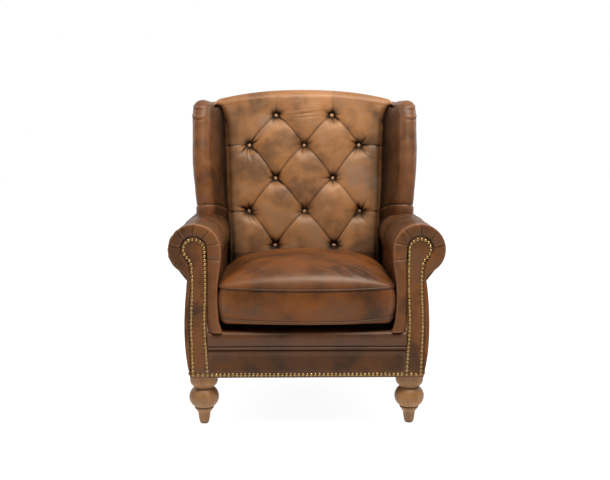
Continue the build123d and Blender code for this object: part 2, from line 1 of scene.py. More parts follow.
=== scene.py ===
"""A wing armchair in hand-antiqued leather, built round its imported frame, in metres."""

import json
import math

import bmesh
import bpy
import numpy as np
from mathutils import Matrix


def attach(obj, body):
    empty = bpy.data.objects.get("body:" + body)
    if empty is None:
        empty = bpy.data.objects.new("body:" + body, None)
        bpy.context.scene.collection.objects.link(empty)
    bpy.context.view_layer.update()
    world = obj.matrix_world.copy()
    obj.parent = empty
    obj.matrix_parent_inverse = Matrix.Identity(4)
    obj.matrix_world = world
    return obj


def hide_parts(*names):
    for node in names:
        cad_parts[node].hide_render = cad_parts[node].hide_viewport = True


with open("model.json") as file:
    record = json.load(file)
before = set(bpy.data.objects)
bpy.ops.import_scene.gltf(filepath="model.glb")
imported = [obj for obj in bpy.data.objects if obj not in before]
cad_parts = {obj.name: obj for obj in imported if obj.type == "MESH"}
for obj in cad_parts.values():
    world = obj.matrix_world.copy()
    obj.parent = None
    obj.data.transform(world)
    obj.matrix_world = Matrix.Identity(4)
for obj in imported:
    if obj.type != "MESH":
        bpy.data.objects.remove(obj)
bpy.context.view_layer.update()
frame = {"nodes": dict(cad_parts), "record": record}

# ---- camera --------------------------------------------------------------
# The chair is seen from its own height, a little to the left of its centre line,
# from about three metres in front of the seat.
lens = bpy.data.cameras.new("camera")
lens.sensor_width = 36.0
lens.lens = 54.8
camera = bpy.data.objects.new("camera", lens)
camera.location = (-0.0523, -3.2996, 0.951)
camera.rotation_euler = (math.radians(90 - 6.81), 0.0, math.radians(-0.9))
bpy.context.scene.collection.objects.link(camera)
bpy.context.scene.camera = camera

# ---- floor and studio light ----------------------------------------------
# A pale floor that glows faintly, one broad softbox above and in front of the chair, and
# two weaker ones behind it at the sides. The sky is brighter behind the chair than in
# front of it, and the camera alone sees a plain white backdrop.
FLOOR_HALF, FLOOR_Z = 14.0, -0.001
floor_mesh = bpy.data.meshes.new("studio_floor")
floor_mesh.from_pydata(
    [(sx * FLOOR_HALF, sy * FLOOR_HALF, FLOOR_Z) for sx, sy in ((-1, -1), (1, -1), (1, 1), (-1, 1))],
    [], [(0, 1, 2, 3)],
)
studio_floor = bpy.data.objects.new("studio_floor", floor_mesh)
bpy.context.scene.collection.objects.link(studio_floor)
pale = bpy.data.materials.new("pale_floor")
pale.use_nodes = True
pale_shader = pale.node_tree.nodes["Principled BSDF"]
pale_shader.inputs["Base Color"].default_value = (0.32, 0.32, 0.32, 1)
pale_shader.inputs["Roughness"].default_value = 0.9
pale_shader.inputs["Emission Color"].default_value = (1.0, 1.0, 1.0, 1)
pale_shader.inputs["Emission Strength"].default_value = 0.92
floor_mesh.materials.append(pale)

world = bpy.data.worlds.new("studio")
world.use_nodes = True
sky = world.node_tree.nodes["Background"]
sky.inputs["Color"].default_value = (1.0, 0.985, 0.96, 1)
view_way = world.node_tree.nodes.new("ShaderNodeTexCoord")
split_way = world.node_tree.nodes.new("ShaderNodeSeparateXYZ")
sky_level = world.node_tree.nodes.new("ShaderNodeMapRange")
for name, level in (("From Min", 0.1), ("From Max", 0.75), ("To Min", 0.14), ("To Max", 0.85)):
    sky_level.inputs[name].default_value = level
world.node_tree.links.new(view_way.outputs["Generated"], split_way.inputs[0])
world.node_tree.links.new(split_way.outputs["Y"], sky_level.inputs["Value"])
world.node_tree.links.new(sky_level.outputs["Result"], sky.inputs["Strength"])
backdrop = world.node_tree.nodes.new("ShaderNodeBackground")
backdrop.inputs["Color"].default_value = (1.0, 1.0, 1.0, 1)
backdrop.inputs["Strength"].default_value = 1.0
seen = world.node_tree.nodes.new("ShaderNodeLightPath")
chosen = world.node_tree.nodes.new("ShaderNodeMixShader")
world.node_tree.links.new(seen.outputs["Is Camera Ray"], chosen.inputs[0])
world.node_tree.links.new(sky.outputs[0], chosen.inputs[1])
world.node_tree.links.new(backdrop.outputs[0], chosen.inputs[2])
world.node_tree.links.new(chosen.outputs[0], world.node_tree.nodes["World Output"].inputs["Surface"])
bpy.context.scene.world = world
bpy.context.scene.view_settings.view_transform = "Standard"


def softbox(name, place, aim, width, height, watts, colour):
    """A rectangular lamp at place, pointing at aim."""
    lamp = bpy.data.lights.new(name, "AREA")
    lamp.shape = "RECTANGLE"
    lamp.size, lamp.size_y = width, height
    lamp.energy = watts
    lamp.color = colour
    holder = bpy.data.objects.new(name, lamp)
    holder.location = place
    reach = [a - p for a, p in zip(aim, place)]
    flat = math.hypot(reach[0], reach[1])
    holder.rotation_euler = (math.atan2(flat, -reach[2]), 0.0, math.atan2(-reach[0], reach[1]))
    bpy.context.scene.collection.objects.link(holder)


softbox("overhead", (0.35, -1.15, 3.0), (0.0, -0.2, 0.75), 1.7, 1.0, 112.0, (1.0, 0.97, 0.93))
softbox("left_side", (-2.4, 0.9, 1.9), (0.0, 0.0, 0.6), 0.7, 1.6, 20.0, (1.0, 0.98, 0.96))
softbox("right_side", (2.4, 0.9, 1.9), (0.0, 0.0, 0.6), 0.7, 1.6, 26.0, (1.0, 0.98, 0.96))

# ---- buttoned back -------------------------------------------------------
# A thick pad under one hide, pulled in by twelve covered buttons in staggered rows.
# The hide folds between neighbouring buttons, rolls over the crest rail and is tacked
# behind it. The pad is fixed, and its sides dive into the seams beside the wings.
MM = 0.001


class Wire:
    """A shader socket, or a number, that adds maths nodes when it is used in an expression."""

    def __init__(self, tree, socket):
        self.tree = tree
        self.socket = socket

    def node(self, kind, settings=None, **sockets):
        """Adds a node, applies its settings, then links or sets its inputs by name or number."""
        made = self.tree.nodes.new(kind)
        for key, value in (settings or {}).items():
            if key == "stops":
                ramp = made.color_ramp
                while len(ramp.elements) < len(value):
                    ramp.elements.new(0.5)
                for element, (at, colour) in zip(ramp.elements, value):
                    element.position = at
                    element.color = (*colour, 1.0)
            else:
                setattr(made, key, value)
        for key, value in sockets.items():
            index = int(key[1:]) if key[0] == "i" and key[1:].isdigit() else key.replace("_", " ")
            target = made.inputs[index]
            if isinstance(value, Wire):
                self.tree.links.new(value.socket, target)
            else:
                target.default_value = value
        return made

    def out(self, made, name=0):
        """One output of a node, as a wire."""
        return Wire(self.tree, made.outputs[name])

    def maths(self, operation, a, b=0.0):
        """The result of one Math node."""
        return self.out(self.node("ShaderNodeMath", {"operation": operation}, i0=a, i1=b))

    def __add__(self, other):
        return self.maths("ADD", self, other)

    def __radd__(self, other):
        return self.maths("ADD", other, self)

    def __sub__(self, other):
        return self.maths("SUBTRACT", self, other)

    def __rsub__(self, other):
        return self.maths("SUBTRACT", other, self)

    def __mul__(self, other):
        return self.maths("MULTIPLY", self, other)

    def __rmul__(self, other):
        return self.maths("MULTIPLY", other, self)

    def noise(self, scale, detail=3.0, roughness=0.55, stretch=None):
        """Noise on this vector, with scale in cycles per metre."""
        place = self
        if stretch:
            place = self.out(self.node("ShaderNodeMapping", {}, Vector=self, Scale=stretch))
        made = self.node("ShaderNodeTexNoise", {}, Vector=place, Scale=scale, Detail=detail,
                         Roughness=roughness)
        return self.out(made, 0)

    def spread(self, low, high):
        """Stretches the range low to high over 0 to 1, clamped."""
        made = self.node("ShaderNodeMapRange", {"clamp": True}, i0=self, i1=low, i2=high)
        return self.out(made)

    def mix(self, factor, a, b):
        """Colour a where factor is 0, colour b where it is 1."""
        made = self.node("ShaderNodeMix", {"data_type": "RGBA"})
        for slot_index, value in ((0, factor), (6, a), (7, b)):
            if isinstance(value, Wire):
                self.tree.links.new(value.socket, made.inputs[slot_index])
            elif slot_index:
                made.inputs[slot_index].default_value = (*value, 1.0)
            else:
                made.inputs[slot_index].default_value = value
        return Wire(self.tree, made.outputs[2])


def new_material(name):
    """An empty Principled material, its shader and a wire that carries object coordinates."""
    material = bpy.data.materials.new(name)
    material.use_nodes = True
    tree = material.node_tree
    shader = tree.nodes["Principled BSDF"]
    place = tree.nodes.new("ShaderNodeTexCoord")
    return material, shader, Wire(tree, place.outputs["Object"])


def connect(shader, socket_name, wire):
    """Links a wire to one of the shader's inputs."""
    wire.tree.links.new(wire.socket, shader.inputs[socket_name])


def antiqued_leather(name, dark, middle, warm, grey):
    """Hand-rubbed hide: cloudy dye, painted shade in the folds and seams, crowns paler partly from wear and
    partly as painted highlight, fine grain.
    """
    material, shader, place = new_material(name)
    fold = place.out(place.node("ShaderNodeAttribute", {"attribute_name": "fold"}), "Fac")
    cloud = place.noise(4.6, 3.0, 0.5)
    patch = place.noise(8.5, 4.0, 0.55)
    mottle = place.noise(38.0, 4.0, 0.6)
    colour = place.mix(cloud.spread(0.36, 0.62), middle, warm)
    colour = place.mix(patch.spread(0.52, 0.72) * 0.75, colour, grey)
    colour = place.mix(patch.spread(0.54, 0.36) * 0.85, colour, dark)
    colour = place.mix(mottle.spread(0.35, 0.75) * 0.3, colour, warm)
    # Painted shade: the hide goes near black where the fold attribute marks a fold or seam.
    deep = tuple(c * 0.16 for c in dark)
    colour = place.mix(fold.spread(0.02, 0.75), colour, deep)
    # Crowns are painted paler, partly as wear and partly as painted highlight.
    crown = (0.0 - fold).spread(0.05, 0.7)
    colour = place.mix(crown * 0.45, colour, tuple(min(1.0, c * 2.2 + 0.03) for c in middle))
    connect(shader, "Base Color", colour)
    rough = 0.40 + patch.spread(0.3, 0.7) * 0.1 + mottle.spread(0.3, 0.7) * 0.05 - crown * 0.06
    connect(shader, "Roughness", rough)
    pores = place.node("ShaderNodeTexVoronoi", {"feature": "F1"}, Vector=place, Scale=620.0)
    grain = place.out(pores, "Distance")
    fine = place.noise(900.0, 2.0)
    soft = place.noise(85.0, 4.0, 0.6)
    relief = grain * 0.35 + fine * 0.2 + soft * 0.9
    bump = place.node("ShaderNodeBump", {}, Strength=0.22, Distance=0.0012, Height=relief)
    connect(shader, "Normal", place.out(bump))
    shader.inputs["Coat Weight"].default_value = 0.06
    shader.inputs["Coat Roughness"].default_value = 0.30
    shader.inputs["Specular IOR Level"].default_value = 0.28
    shader.inputs["Specular Tint"].default_value = (1.0, 0.82, 0.64, 1)
    return material


hide = antiqued_leather("antiqued_hide", (0.026, 0.0112, 0.0058), (0.092, 0.0345, 0.0115),
                        (0.165, 0.0550, 0.0135), (0.086, 0.050, 0.030))
# A darker copy of the hide for the edge roll, front border and welts: painted shade on these faces.
band_hide_painted_shade = antiqued_leather("band_hide_painted_shade", (0.010, 0.0048, 0.0030), (0.044, 0.0155, 0.0052),
                             (0.098, 0.0300, 0.0060), (0.040, 0.023, 0.014))
# A lighter copy of the hide for the buttoned back: painted light for the sheen it catches.
back_hide_painted_light = antiqued_leather("painted_light_back_hide", (0.082, 0.0380, 0.0185), (0.195, 0.086, 0.0350),
                             (0.300, 0.130, 0.0430), (0.190, 0.116, 0.075))


def waves(points, length, seed, count=7):
    """Smooth unevenness from -1 to 1 at points in millimetres, about length across."""
    dice = np.random.default_rng(seed)
    total = np.zeros(points.shape[:-1])
    for _ in range(count):
        way = dice.normal(size=3)
        way /= np.linalg.norm(way)
        pitch = 2 * math.pi / (length * dice.uniform(0.75, 1.5))
        total += np.sin(points @ way * pitch + dice.uniform(0, 2 * math.pi))
    return total / count * 1.6


def grid_normals(grid):
    """Unit normals of a grid of points, one per point."""
    across = np.gradient(grid, axis=0)
    along = np.gradient(grid, axis=1)
    normal = np.cross(across, along)
    length = np.linalg.norm(normal, axis=-1, keepdims=True)
    return normal / np.maximum(length, 1e-9)


def link_mesh(name, points, faces, material, shade=None):
    """A smooth-shaded object from points in millimetres, its faces turned outwards."""
    mesh = bpy.data.meshes.new(name)
    mesh.from_pydata((np.asarray(points) * MM).tolist(), [], faces)
    work = bmesh.new()
    work.from_mesh(mesh)
    bmesh.ops.remove_doubles(work, verts=work.verts, dist=1e-6)
    bmesh.ops.recalc_face_normals(work, faces=work.faces)
    work.to_mesh(mesh)
    work.free()
    mesh.shade_smooth()
    mesh.materials.append(material)
    piece = bpy.data.objects.new(name, mesh)
    bpy.context.scene.collection.objects.link(piece)
    mark_folds(mesh, shade)
    return piece


def mark_folds(mesh, shade=None, rounds=14, reach=0.0035):
    """Stores how far each point lies below the softened surface: 1 in a fold, -1 on a crown.

    From positions in millimetres, shade says how much of the marks to keep, and how much
    painted shade to add where the hide runs into a seam.
    """
    count = len(mesh.vertices)
    place = np.empty(count * 3)
    mesh.vertices.foreach_get("co", place)
    place = place.reshape(-1, 3)
    normal = np.empty(count * 3)
    mesh.vertices.foreach_get("normal", normal)
    normal = normal.reshape(-1, 3)
    ends = np.empty(len(mesh.edges) * 2, dtype=np.int64)
    mesh.edges.foreach_get("vertices", ends)
    a, b = ends[::2], ends[1::2]
    share = np.maximum(np.bincount(a, minlength=count) + np.bincount(b, minlength=count), 1)
    soft = place.copy()
    for _ in range(rounds):
        summed = np.stack(
            [np.bincount(a, soft[b, k], count) + np.bincount(b, soft[a, k], count) for k in range(3)],
            axis=1,
        )
        soft = summed / share[:, None]
    fold = np.clip(((soft - place) * normal).sum(axis=1) / reach, -1, 1)
    if shade:
        keep, extra = shade(place / MM)
        fold = np.clip(fold * keep + extra, -1, 1)
    # The fold attribute is painted as shade in folds and seams and as paler crowns.
    layer = mesh.attributes.new("fold", "FLOAT", "POINT")
    layer.data.foreach_set("value", fold.astype(np.float32))


def hide_over(name, grid, inward, material, lining=3.0, behind=12.0, shade=None):
    """A piece from a grid of surface points, closed behind by a turned edge and a plain lining."""
    rows, columns = grid.shape[:2]
    points = grid.reshape(-1, 3)
    faces = []
    for r in range(rows - 1):
        base = r * columns
        faces += [(base + c, base + c + 1, base + columns + c + 1, base + columns + c)
                  for c in range(columns - 1)]
    rim = list(range(columns))
    rim += [r * columns + columns - 1 for r in range(1, rows)]
    rim += [(rows - 1) * columns + c for c in range(columns - 2, -1, -1)]
    rim += [r * columns for r in range(rows - 2, 0, -1)]
    inward = np.asarray(inward, dtype=float)
    turned = points[rim] + inward * lining
    middle = turned.mean(axis=0) + inward * behind
    first = len(points)
    centre = first + len(rim)
    for n in range(len(rim)):
        m = (n + 1) % len(rim)
        faces.append((rim[m], rim[n], first + n, first + m))
        faces.append((first + m, first + n, centre))
    return link_mesh(name, np.vstack([points, turned, middle]), faces, material, shade)


def soften(grid, rounds):
    """Evens out the inside of a grid of points and keeps its edges."""
    grid = grid.copy()
    for _ in range(rounds):
        inner = (grid[:-2, 1:-1] + grid[2:, 1:-1] + grid[1:-1, :-2] + grid[1:-1, 2:]) / 4
        grid[1:-1, 1:-1] = inner
    return grid


BACK_FOOT, LUMBAR, RAKE, FACE_Y = 322.0, 500.0, 0.25, 123.0
CREST_Z, CREST_HALF, CREST_DROP, CREST_ROUND = 1100.0, 343.0, 40.0, 30.0
CREST_POWER = 2.3


def face_y(z):
    """Front of the padded back, before the buttons are pulled in."""
    return FACE_Y + np.maximum(0.0, z - LUMBAR) * RAKE


def rear_y(z):
    """Outside face of the back."""
    return 313.0 + (z - 160.0) / 9.0


def crest_z(x):
    """Top of the arched crest."""
    return CREST_Z - CREST_DROP * (np.abs(x) / CREST_HALF) ** CREST_POWER


def seam_x(z):
    """Half the visible width of the back, at the seams beside the arms and wings."""
    return np.interp(z, [300, 568, 656, 745, 832, 919, 984, 1027, 1053, 1100],
                     [276, 277, 284, 290, 292, 295, 301, 313, 333, 345])


BUTTON_DEPTH, BUTTON_SPREAD = 34.0, 19.0
BUTTONS = [
    (x, z)
    for z, row in ((1003, (-106, 106)), (890, (-208, 0, 208)), (767, (-108, 108)),
                   (645, (-208, 0, 208)), (520, (-110, 110)))
    for x in row
]


def fold_lines():
    """Folds of the hide: (points along the fold, depth at its ends, depth midway)."""
    lines = []
    for x0, z0 in BUTTONS:
        for x1, z1 in BUTTONS:
            if 90 < z0 - z1 < 140 and abs(x0 - x1) < 120:
                t = np.linspace(0, 1, 15)
                rise = 4 * 12.0 * t * (1 - t)
                lines.append((np.stack([x0 + (x1 - x0) * t, z0 + (z1 - z0) * t + rise], axis=1),
                              9.0, 6.0))
    for side in (-1, 1):
        lines.append((np.array([(side * 106, 1003), (side * 105, 1050), (side * 104, 1110)]), 5.0, 1.8))
        lines.append((np.array([(side * 110, 520), (side * 112, 430), (side * 112, 320)]), 7.0, 3.0))
        for z in (890, 645):
            lines.append((np.array([(side * 208, z), (side * 245, z + 2), (side * 290, z - 2)]), 7.0, 3.0))
    return lines


def distance_to(line, x, z):
    """Distance of every point to a line of points, and how far along it that is, 0 to 1."""
    best = np.full(x.shape, 1e9)
    along = np.zeros(x.shape)
    pieces = len(line) - 1
    for n in range(pieces):
        (ax, az), (bx, bz) = line[n], line[n + 1]
        dx, dz = bx - ax, bz - az
        t = np.clip(((x - ax) * dx + (z - az) * dz) / (dx * dx + dz * dz), 0, 1)
        d = np.hypot(x - ax - t * dx, z - az - t * dz)
        nearer = d < best
        best = np.where(nearer, d, best)
        along = np.where(nearer, (n + t) / pieces, along)
    return best, along


def back_relief(x, z):
    """How far the hide is pulled in at (x, z) by buttons, folds and creases."""
    pull = np.zeros(x.shape)
    for line, ends, middle in fold_lines():
        d, t = distance_to(line, x, z)
        depth = middle + (ends - middle) * (2 * np.abs(t - 0.5)) ** 2
        pull = np.maximum(pull, depth * (0.5 * np.exp(-d / 2.6) + 0.5 * np.exp(-((d / 21.0) ** 1.4))))
    dice = np.random.default_rng(12)
    for bx, bz in BUTTONS:
        r = np.hypot(x - bx, z - bz)
        turn = np.arctan2(z - bz, x - bx)
        funnel = BUTTON_DEPTH * np.exp(-((r / BUTTON_SPREAD) ** 1.15))
        pull = pull + funnel * (1 - 0.35 * pull / 14.0)
        outer = abs(bx) > 150
        for _ in range(13 if outer else 8):
            spoke = dice.uniform(0, 2 * math.pi)
            reach = dice.uniform(24, 56) * (1.35 if outer else 1.0)
            wide = dice.uniform(0.10, 0.19)
            deep = dice.uniform(0.9, 2.3) * (1.35 if outer else 1.0)
            off = np.angle(np.exp(1j * (turn - spoke - 0.004 * (r - 20))))
            pull += deep * np.exp(-((off / wide) ** 2)) * np.exp(-(((r - 15) / (reach * 0.5)) ** 2))
    for height, centre, reach, deep in ((998, 18, 62, 0.9), (1007, -22, 70, 1.2), (1016, 30, 62, 1.0),
                                        (1026, -6, 48, 0.6)):
        bend = 2.6 * np.sin((x - centre) / 27.0) + 0.02 * (x - centre)
        across = np.exp(-(((x - centre) / reach) ** 2))
        pull += deep * across * np.exp(-(((z - height - bend) / (2.6 + 1.6 * across)) ** 2))
    return pull


BACK_COLUMNS, BACK_ROWS, ROUND_ROWS, TOP_ROWS = 225, 262, 18, 24
EDGE_DIVE, FACE_CROWN, END_DROP = 36.0, 7.0, 27.0


def buttoned_back():
    """The back's hide from the deck, up the buttoned face, round the crest and to the rear."""
    s = np.linspace(-1, 1, BACK_COLUMNS)
    grid = np.zeros((BACK_ROWS + ROUND_ROWS + TOP_ROWS, BACK_COLUMNS, 3))
    for r in range(BACK_ROWS):
        q = r / (BACK_ROWS - 1)
        half = seam_x(BACK_FOOT + q * (1075 - BACK_FOOT)) + 7 + 9 * max(0.0, q - 0.88) / 0.12
        x = s * half
        z = BACK_FOOT + q * (crest_z(x) - CREST_ROUND - BACK_FOOT)
        grid[r] = np.stack([x, face_y(z), z], axis=1)
    x = s * (CREST_HALF + 11)
    top = crest_z(x)
    start_y = face_y(top - CREST_ROUND)
    for r in range(ROUND_ROWS):
        a = (r + 1) / ROUND_ROWS * math.pi / 2
        y = start_y + CREST_ROUND * (1 - math.cos(a))
        z = top - CREST_ROUND + CREST_ROUND * math.sin(a)
        grid[BACK_ROWS + r] = np.stack([x, y, z], axis=1)
    for r in range(TOP_ROWS):
        q = (r + 1) / TOP_ROWS
        y = start_y + CREST_ROUND + q * (rear_y(top) - 3 - start_y - CREST_ROUND)
        grid[BACK_ROWS + ROUND_ROWS + r] = np.stack([x, y, top - 2.0 * q], axis=1)
    x, z = grid[..., 0], grid[..., 2]
    front = np.clip((crest_z(x) - 4 - z) / 26.0, 0, 1)
    pull = back_relief(x, z) * front
    edge = np.clip(EDGE_DIVE - (seam_x(z) + 7 - np.abs(x)), 0, EDGE_DIVE)
    pull += (EDGE_DIVE - np.sqrt(np.maximum(EDGE_DIVE**2 - edge**2, 0))) * front
    pull += 1.3 * waves(grid, 130.0, 3) + 0.5 * waves(grid, 42.0, 4)
    pull -= FACE_CROWN * np.cos(np.clip(x / 300, -1, 1) * math.pi / 2) * front
    grid[..., 1] += pull * np.where(front > 0, 1, 0.3)
    end = np.clip((np.abs(x) - 322) / 32, 0, 1) ** 1.5
    grid[..., 2] = z - END_DROP * end * np.clip((z - 1000) / 40, 0, 1)
    return grid


back_grid = buttoned_back()


def back_shade(p):
    """Painted shade towards the side seams, the seat and the buttons; a top panel and one patch are paler
    hide.
    """
    inset = np.clip(seam_x(p[:, 2]) - np.abs(p[:, 0]), 0, 400)
    side = 0.9 * np.exp(-inset / 12.0) + 0.55 * np.exp(-((inset / 44.0) ** 2))
    foot = np.exp(-np.clip(p[:, 2] - 505, 0, 400) / 22.0)
    wells = sum(
        (0.34 + 0.3 * (abs(bx) > 90)) * np.exp(-((np.hypot(p[:, 0] - bx, p[:, 2] - bz) / 25.0) ** 2))
        for bx, bz in BUTTONS
    )
    panel = (np.abs(p[:, 0]) < 106) * np.clip((p[:, 2] - 1016) / 14.0, 0, 1)
    pale = panel * (0.12 + 0.30 * np.clip((p[:, 0] + 60) / 150.0, 0, 1))
    pale += 0.30 * np.exp(-((np.hypot(p[:, 0] - 100, p[:, 2] - 700) / 62.0) ** 2))
    return 1.0, (side + 0.3 * foot) * np.clip((1050 - p[:, 2]) / 36.0, 0, 1) + wells - pale


back = hide_over("back_leather", back_grid, (0, 1, 0), back_hide_painted_light,
                 lining=6.0, behind=20.0, shade=back_shade)
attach(back, "chair")
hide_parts("inside_back_cover", "back_pad", "crest_cover", "crest_pad")

# ---- back buttons --------------------------------------------------------
# Domed metal shells covered with a lighter offcut of hide, pulled in by twine.
button_hide = antiqued_leather("button_hide", (0.12, 0.055, 0.03), (0.30, 0.16, 0.09),
                               (0.36, 0.19, 0.10), (0.28, 0.18, 0.12))


def repeated(name, spots, shape, material, sizes):
    """Places one small shape on every spot with Geometry Nodes and returns a plain mesh object.

    spots are (position, direction) in millimetres. shape is a plain object. sizes is the
    smallest and largest scale.
    """
    mesh = bpy.data.meshes.new(name)
    mesh.from_pydata([tuple(c * MM for c in place) for place, _ in spots], [], [])
    facing = mesh.attributes.new("facing", "FLOAT_VECTOR", "POINT")
    facing.data.foreach_set("vector", [float(c) for _, way in spots for c in way])
    holder = bpy.data.objects.new(name, mesh)
    bpy.context.scene.collection.objects.link(holder)
    tree = bpy.data.node_groups.new(f"{name}_repeat", "GeometryNodeTree")
    tree.interface.new_socket("Geometry", in_out="INPUT", socket_type="NodeSocketGeometry")
    low = tree.interface.new_socket("Smallest", in_out="INPUT", socket_type="NodeSocketFloat")
    high = tree.interface.new_socket("Largest", in_out="INPUT", socket_type="NodeSocketFloat")
    tree.interface.new_socket("Geometry", in_out="OUTPUT", socket_type="NodeSocketGeometry")
    add = tree.nodes.new
    entry, leave = add("NodeGroupInput"), add("NodeGroupOutput")
    source = add("GeometryNodeObjectInfo")
    source.inputs["Object"].default_value = shape
    way = add("GeometryNodeInputNamedAttribute")
    way.data_type = "FLOAT_VECTOR"
    way.inputs["Name"].default_value = "facing"
    turn = add("FunctionNodeAlignRotationToVector")
    turn.axis = "Z"
    chance = add("FunctionNodeRandomValue")
    chance.data_type = "FLOAT"
    chance.inputs["Seed"].default_value = 5
    place = add("GeometryNodeInstanceOnPoints")
    realise, paint = add("GeometryNodeRealizeInstances"), add("GeometryNodeSetMaterial")
    paint.inputs["Material"].default_value = material
    for a, b in (
        (entry.outputs[0], place.inputs["Points"]),
        (source.outputs["Geometry"], place.inputs["Instance"]),
        (way.outputs["Attribute"], turn.inputs["Vector"]),
        (turn.outputs["Rotation"], place.inputs["Rotation"]),
        (entry.outputs[1], chance.inputs[2]),
        (entry.outputs[2], chance.inputs[3]),
        (chance.outputs[1], place.inputs["Scale"]),
        (place.outputs["Instances"], realise.inputs["Geometry"]),
        (realise.outputs["Geometry"], paint.inputs["Geometry"]),
        (paint.outputs["Geometry"], leave.inputs[0]),
    ):
        tree.links.new(a, b)
    modifier = holder.modifiers.new("repeat", "NODES")
    modifier.node_group = tree
    modifier[low.identifier], modifier[high.identifier] = sizes
    evaluated = holder.evaluated_get(bpy.context.evaluated_depsgraph_get())
    plain = bpy.data.meshes.new_from_object(evaluated)
    holder.modifiers.clear()
    holder.data = plain
    bpy.data.meshes.remove(mesh)
    bpy.data.objects.remove(shape)
    plain.name = name
    plain.shade_smooth()
    return holder


def ring_faces(rings, around):
    """Faces that join rings of points, then close both ends onto the two points that follow."""
    faces = []
    for r in range(rings - 1):
        for n in range(around):
            m = (n + 1) % around
            faces.append((r * around + n, r * around + m, (r + 1) * around + m, (r + 1) * around + n))
    for n in range(around):
        m = (n + 1) % around
        faces.append((m, n, rings * around))
        faces.append(((rings - 1) * around + n, (rings - 1) * around + m, rings * around + 1))
    return faces


def turned_shape(name, profile, around, material):
    """A small closed shape turned about Z from (radius, height) in millimetres, base to top."""
    points = []
    for radius, height in profile:
        for n in range(around):
            a = 2 * math.pi * n / around
            points.append((radius * math.cos(a), radius * math.sin(a), height))
    points += [(0, 0, profile[0][1]), (0, 0, profile[-1][1] + 0.02 * profile[0][0])]
    return link_mesh(name, points, ring_faces(len(profile), around), material)


BUTTON_RADIUS, BUTTON_SINK = 7.6, 2.5
button_shape = turned_shape(
    "button_shape",
    [(BUTTON_RADIUS * 0.8, -2.5), (BUTTON_RADIUS * 0.98, -1.0), (BUTTON_RADIUS, 0.6),
     (BUTTON_RADIUS * 0.95, 2.2), (BUTTON_RADIUS * 0.82, 3.8), (BUTTON_RADIUS * 0.6, 5.1),
     (BUTTON_RADIUS * 0.32, 5.9), (BUTTON_RADIUS * 0.1, 6.2)],
    24, button_hide,
)
button_spots = []
for bx, bz in BUTTONS:
    near = np.hypot(back_grid[..., 0] - bx, back_grid[..., 2] - bz)
    near = np.where(np.arange(back_grid.shape[0])[:, None] < BACK_ROWS, near, 1e9)
    spot = np.unravel_index(near.argmin(), near.shape)
    button_spots.append(((bx, back_grid[spot][1] - BUTTON_SINK, bz), (0.0, -1.0, 0.22)))
back_buttons = repeated("back_buttons", button_spots, button_shape, button_hide, (0.97, 1.03))
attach(back_buttons, "chair")
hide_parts("tufting_buttons")

# ---- arms ----------------------------------------------------------------
# Each arm is a padded top rail and inside board under one hide. The hide runs up from the
# deck, over the scroll and down to the outside panel, with a seam just ahead of the wing.
ROLL_X, ROLL_Z, ROLL_R = 355.0, 573.0, 82.0
ARM_IN, ARM_FRONT = 285.5, -392.0
ARM_FOOT, ARM_STRAIGHT_TOP = 262.0, 505.0


def arm_section():
    """Section of the arm's hide from the deck, over the scroll, to the outside panel."""
    inside = [(ARM_IN, z) for z in np.linspace(ARM_FOOT, ARM_STRAIGHT_TOP, 30)]
    start = math.atan2(520 - ROLL_Z, -70.5)
    turn = np.linspace(start + 2 * math.pi, math.atan2(-76, 30), 92)
    over = [(ROLL_X + ROLL_R * math.cos(a), ROLL_Z + ROLL_R * math.sin(a)) for a in turn]
    tuck = [(376.0, 499.0), (370.0, 503.0)]
    return np.array(inside + over + tuck)


def arm_cover(side):
    """The arm's hide from front to back, with its cross seam and slight gathers at the front."""
    line = arm_section()
    along = 150
    grid = np.zeros((along, len(line), 3))
    for r in range(along):
        q = r / (along - 1)
        y = ARM_FRONT + q * (rear_y(line[:, 1]) - 6 - ARM_FRONT)
        grid[r] = np.stack([line[:, 0], y, line[:, 1]], axis=1)
    grid = soften(grid, 6)
    world = grid * np.array([side, 1, 1])
    out = np.stack([grid[..., 0] - ROLL_X, np.zeros(grid.shape[:2]), grid[..., 2] - ROLL_Z], axis=-1)
    out /= np.maximum(np.linalg.norm(out, axis=-1, keepdims=True), 1e-6)
    on_straight = (grid[..., 2:3] < ARM_STRAIGHT_TOP) & (grid[..., 0:1] < 320)
    out = np.where(on_straight, np.array([-1.0, 0, 0]), out)
    y, z = grid[..., 1], grid[..., 2]
    turn = np.arctan2(z - ROLL_Z, ROLL_X - grid[..., 0])
    swell = 1.4 * waves(world, 120.0, 21 + side) + 0.5 * waves(world, 38.0, 31 + side)
    seam_y = -92.0 - 26.0 * np.cos(turn * 0.9)
    swell -= 2.6 * np.exp(-(((y - seam_y) / 3.0) ** 2)) * (z > 470)
    swell += 2.0 * np.exp(-(((y - seam_y - 14) / 12.0) ** 2)) * (z > 470)
    near_front = np.exp(-(y - ARM_FRONT) / 18.0)
    swell -= 1.6 * near_front
    ripple = np.sin(turn * 17 + 2.0 * waves(world, 60.0, 5))
    swell += 0.8 * ripple * np.exp(-(y - ARM_FRONT) / 40.0) * (z > 520)
    grid = grid + out * np.clip(swell, -4, 3.0)[..., None]
    return grid * np.array([side, 1, 1])


SIDES = (("left", -1), ("right", 1))


def arm_shade(p):
    """Painted shade low on the inside of the arm and where it meets the back."""
    inside = np.abs(p[:, 0]) < 300
    low = np.clip((ARM_STRAIGHT_TOP - p[:, 2]) / 90.0, 0, 1) * inside
    rear = np.clip((p[:, 1] - 20) / 100.0, 0, 1) * (np.abs(p[:, 0]) < 345)
    keep = np.clip((p[:, 1] - ARM_FRONT - 14) / 30.0, 0, 1) * np.clip((190 - p[:, 1]) / 30.0, 0, 1)
    return keep, 0.45 * low + 0.7 * rear


for side_name, side in SIDES:
    arm = hide_over(f"arm_leather_{side_name}", arm_cover(side), (side, 0, 0), hide,
                    lining=4.0, behind=4.0, shade=arm_shade)
    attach(arm, "chair")
    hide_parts(f"arm_cover_{side_name}", f"arm_pad_{side_name}")

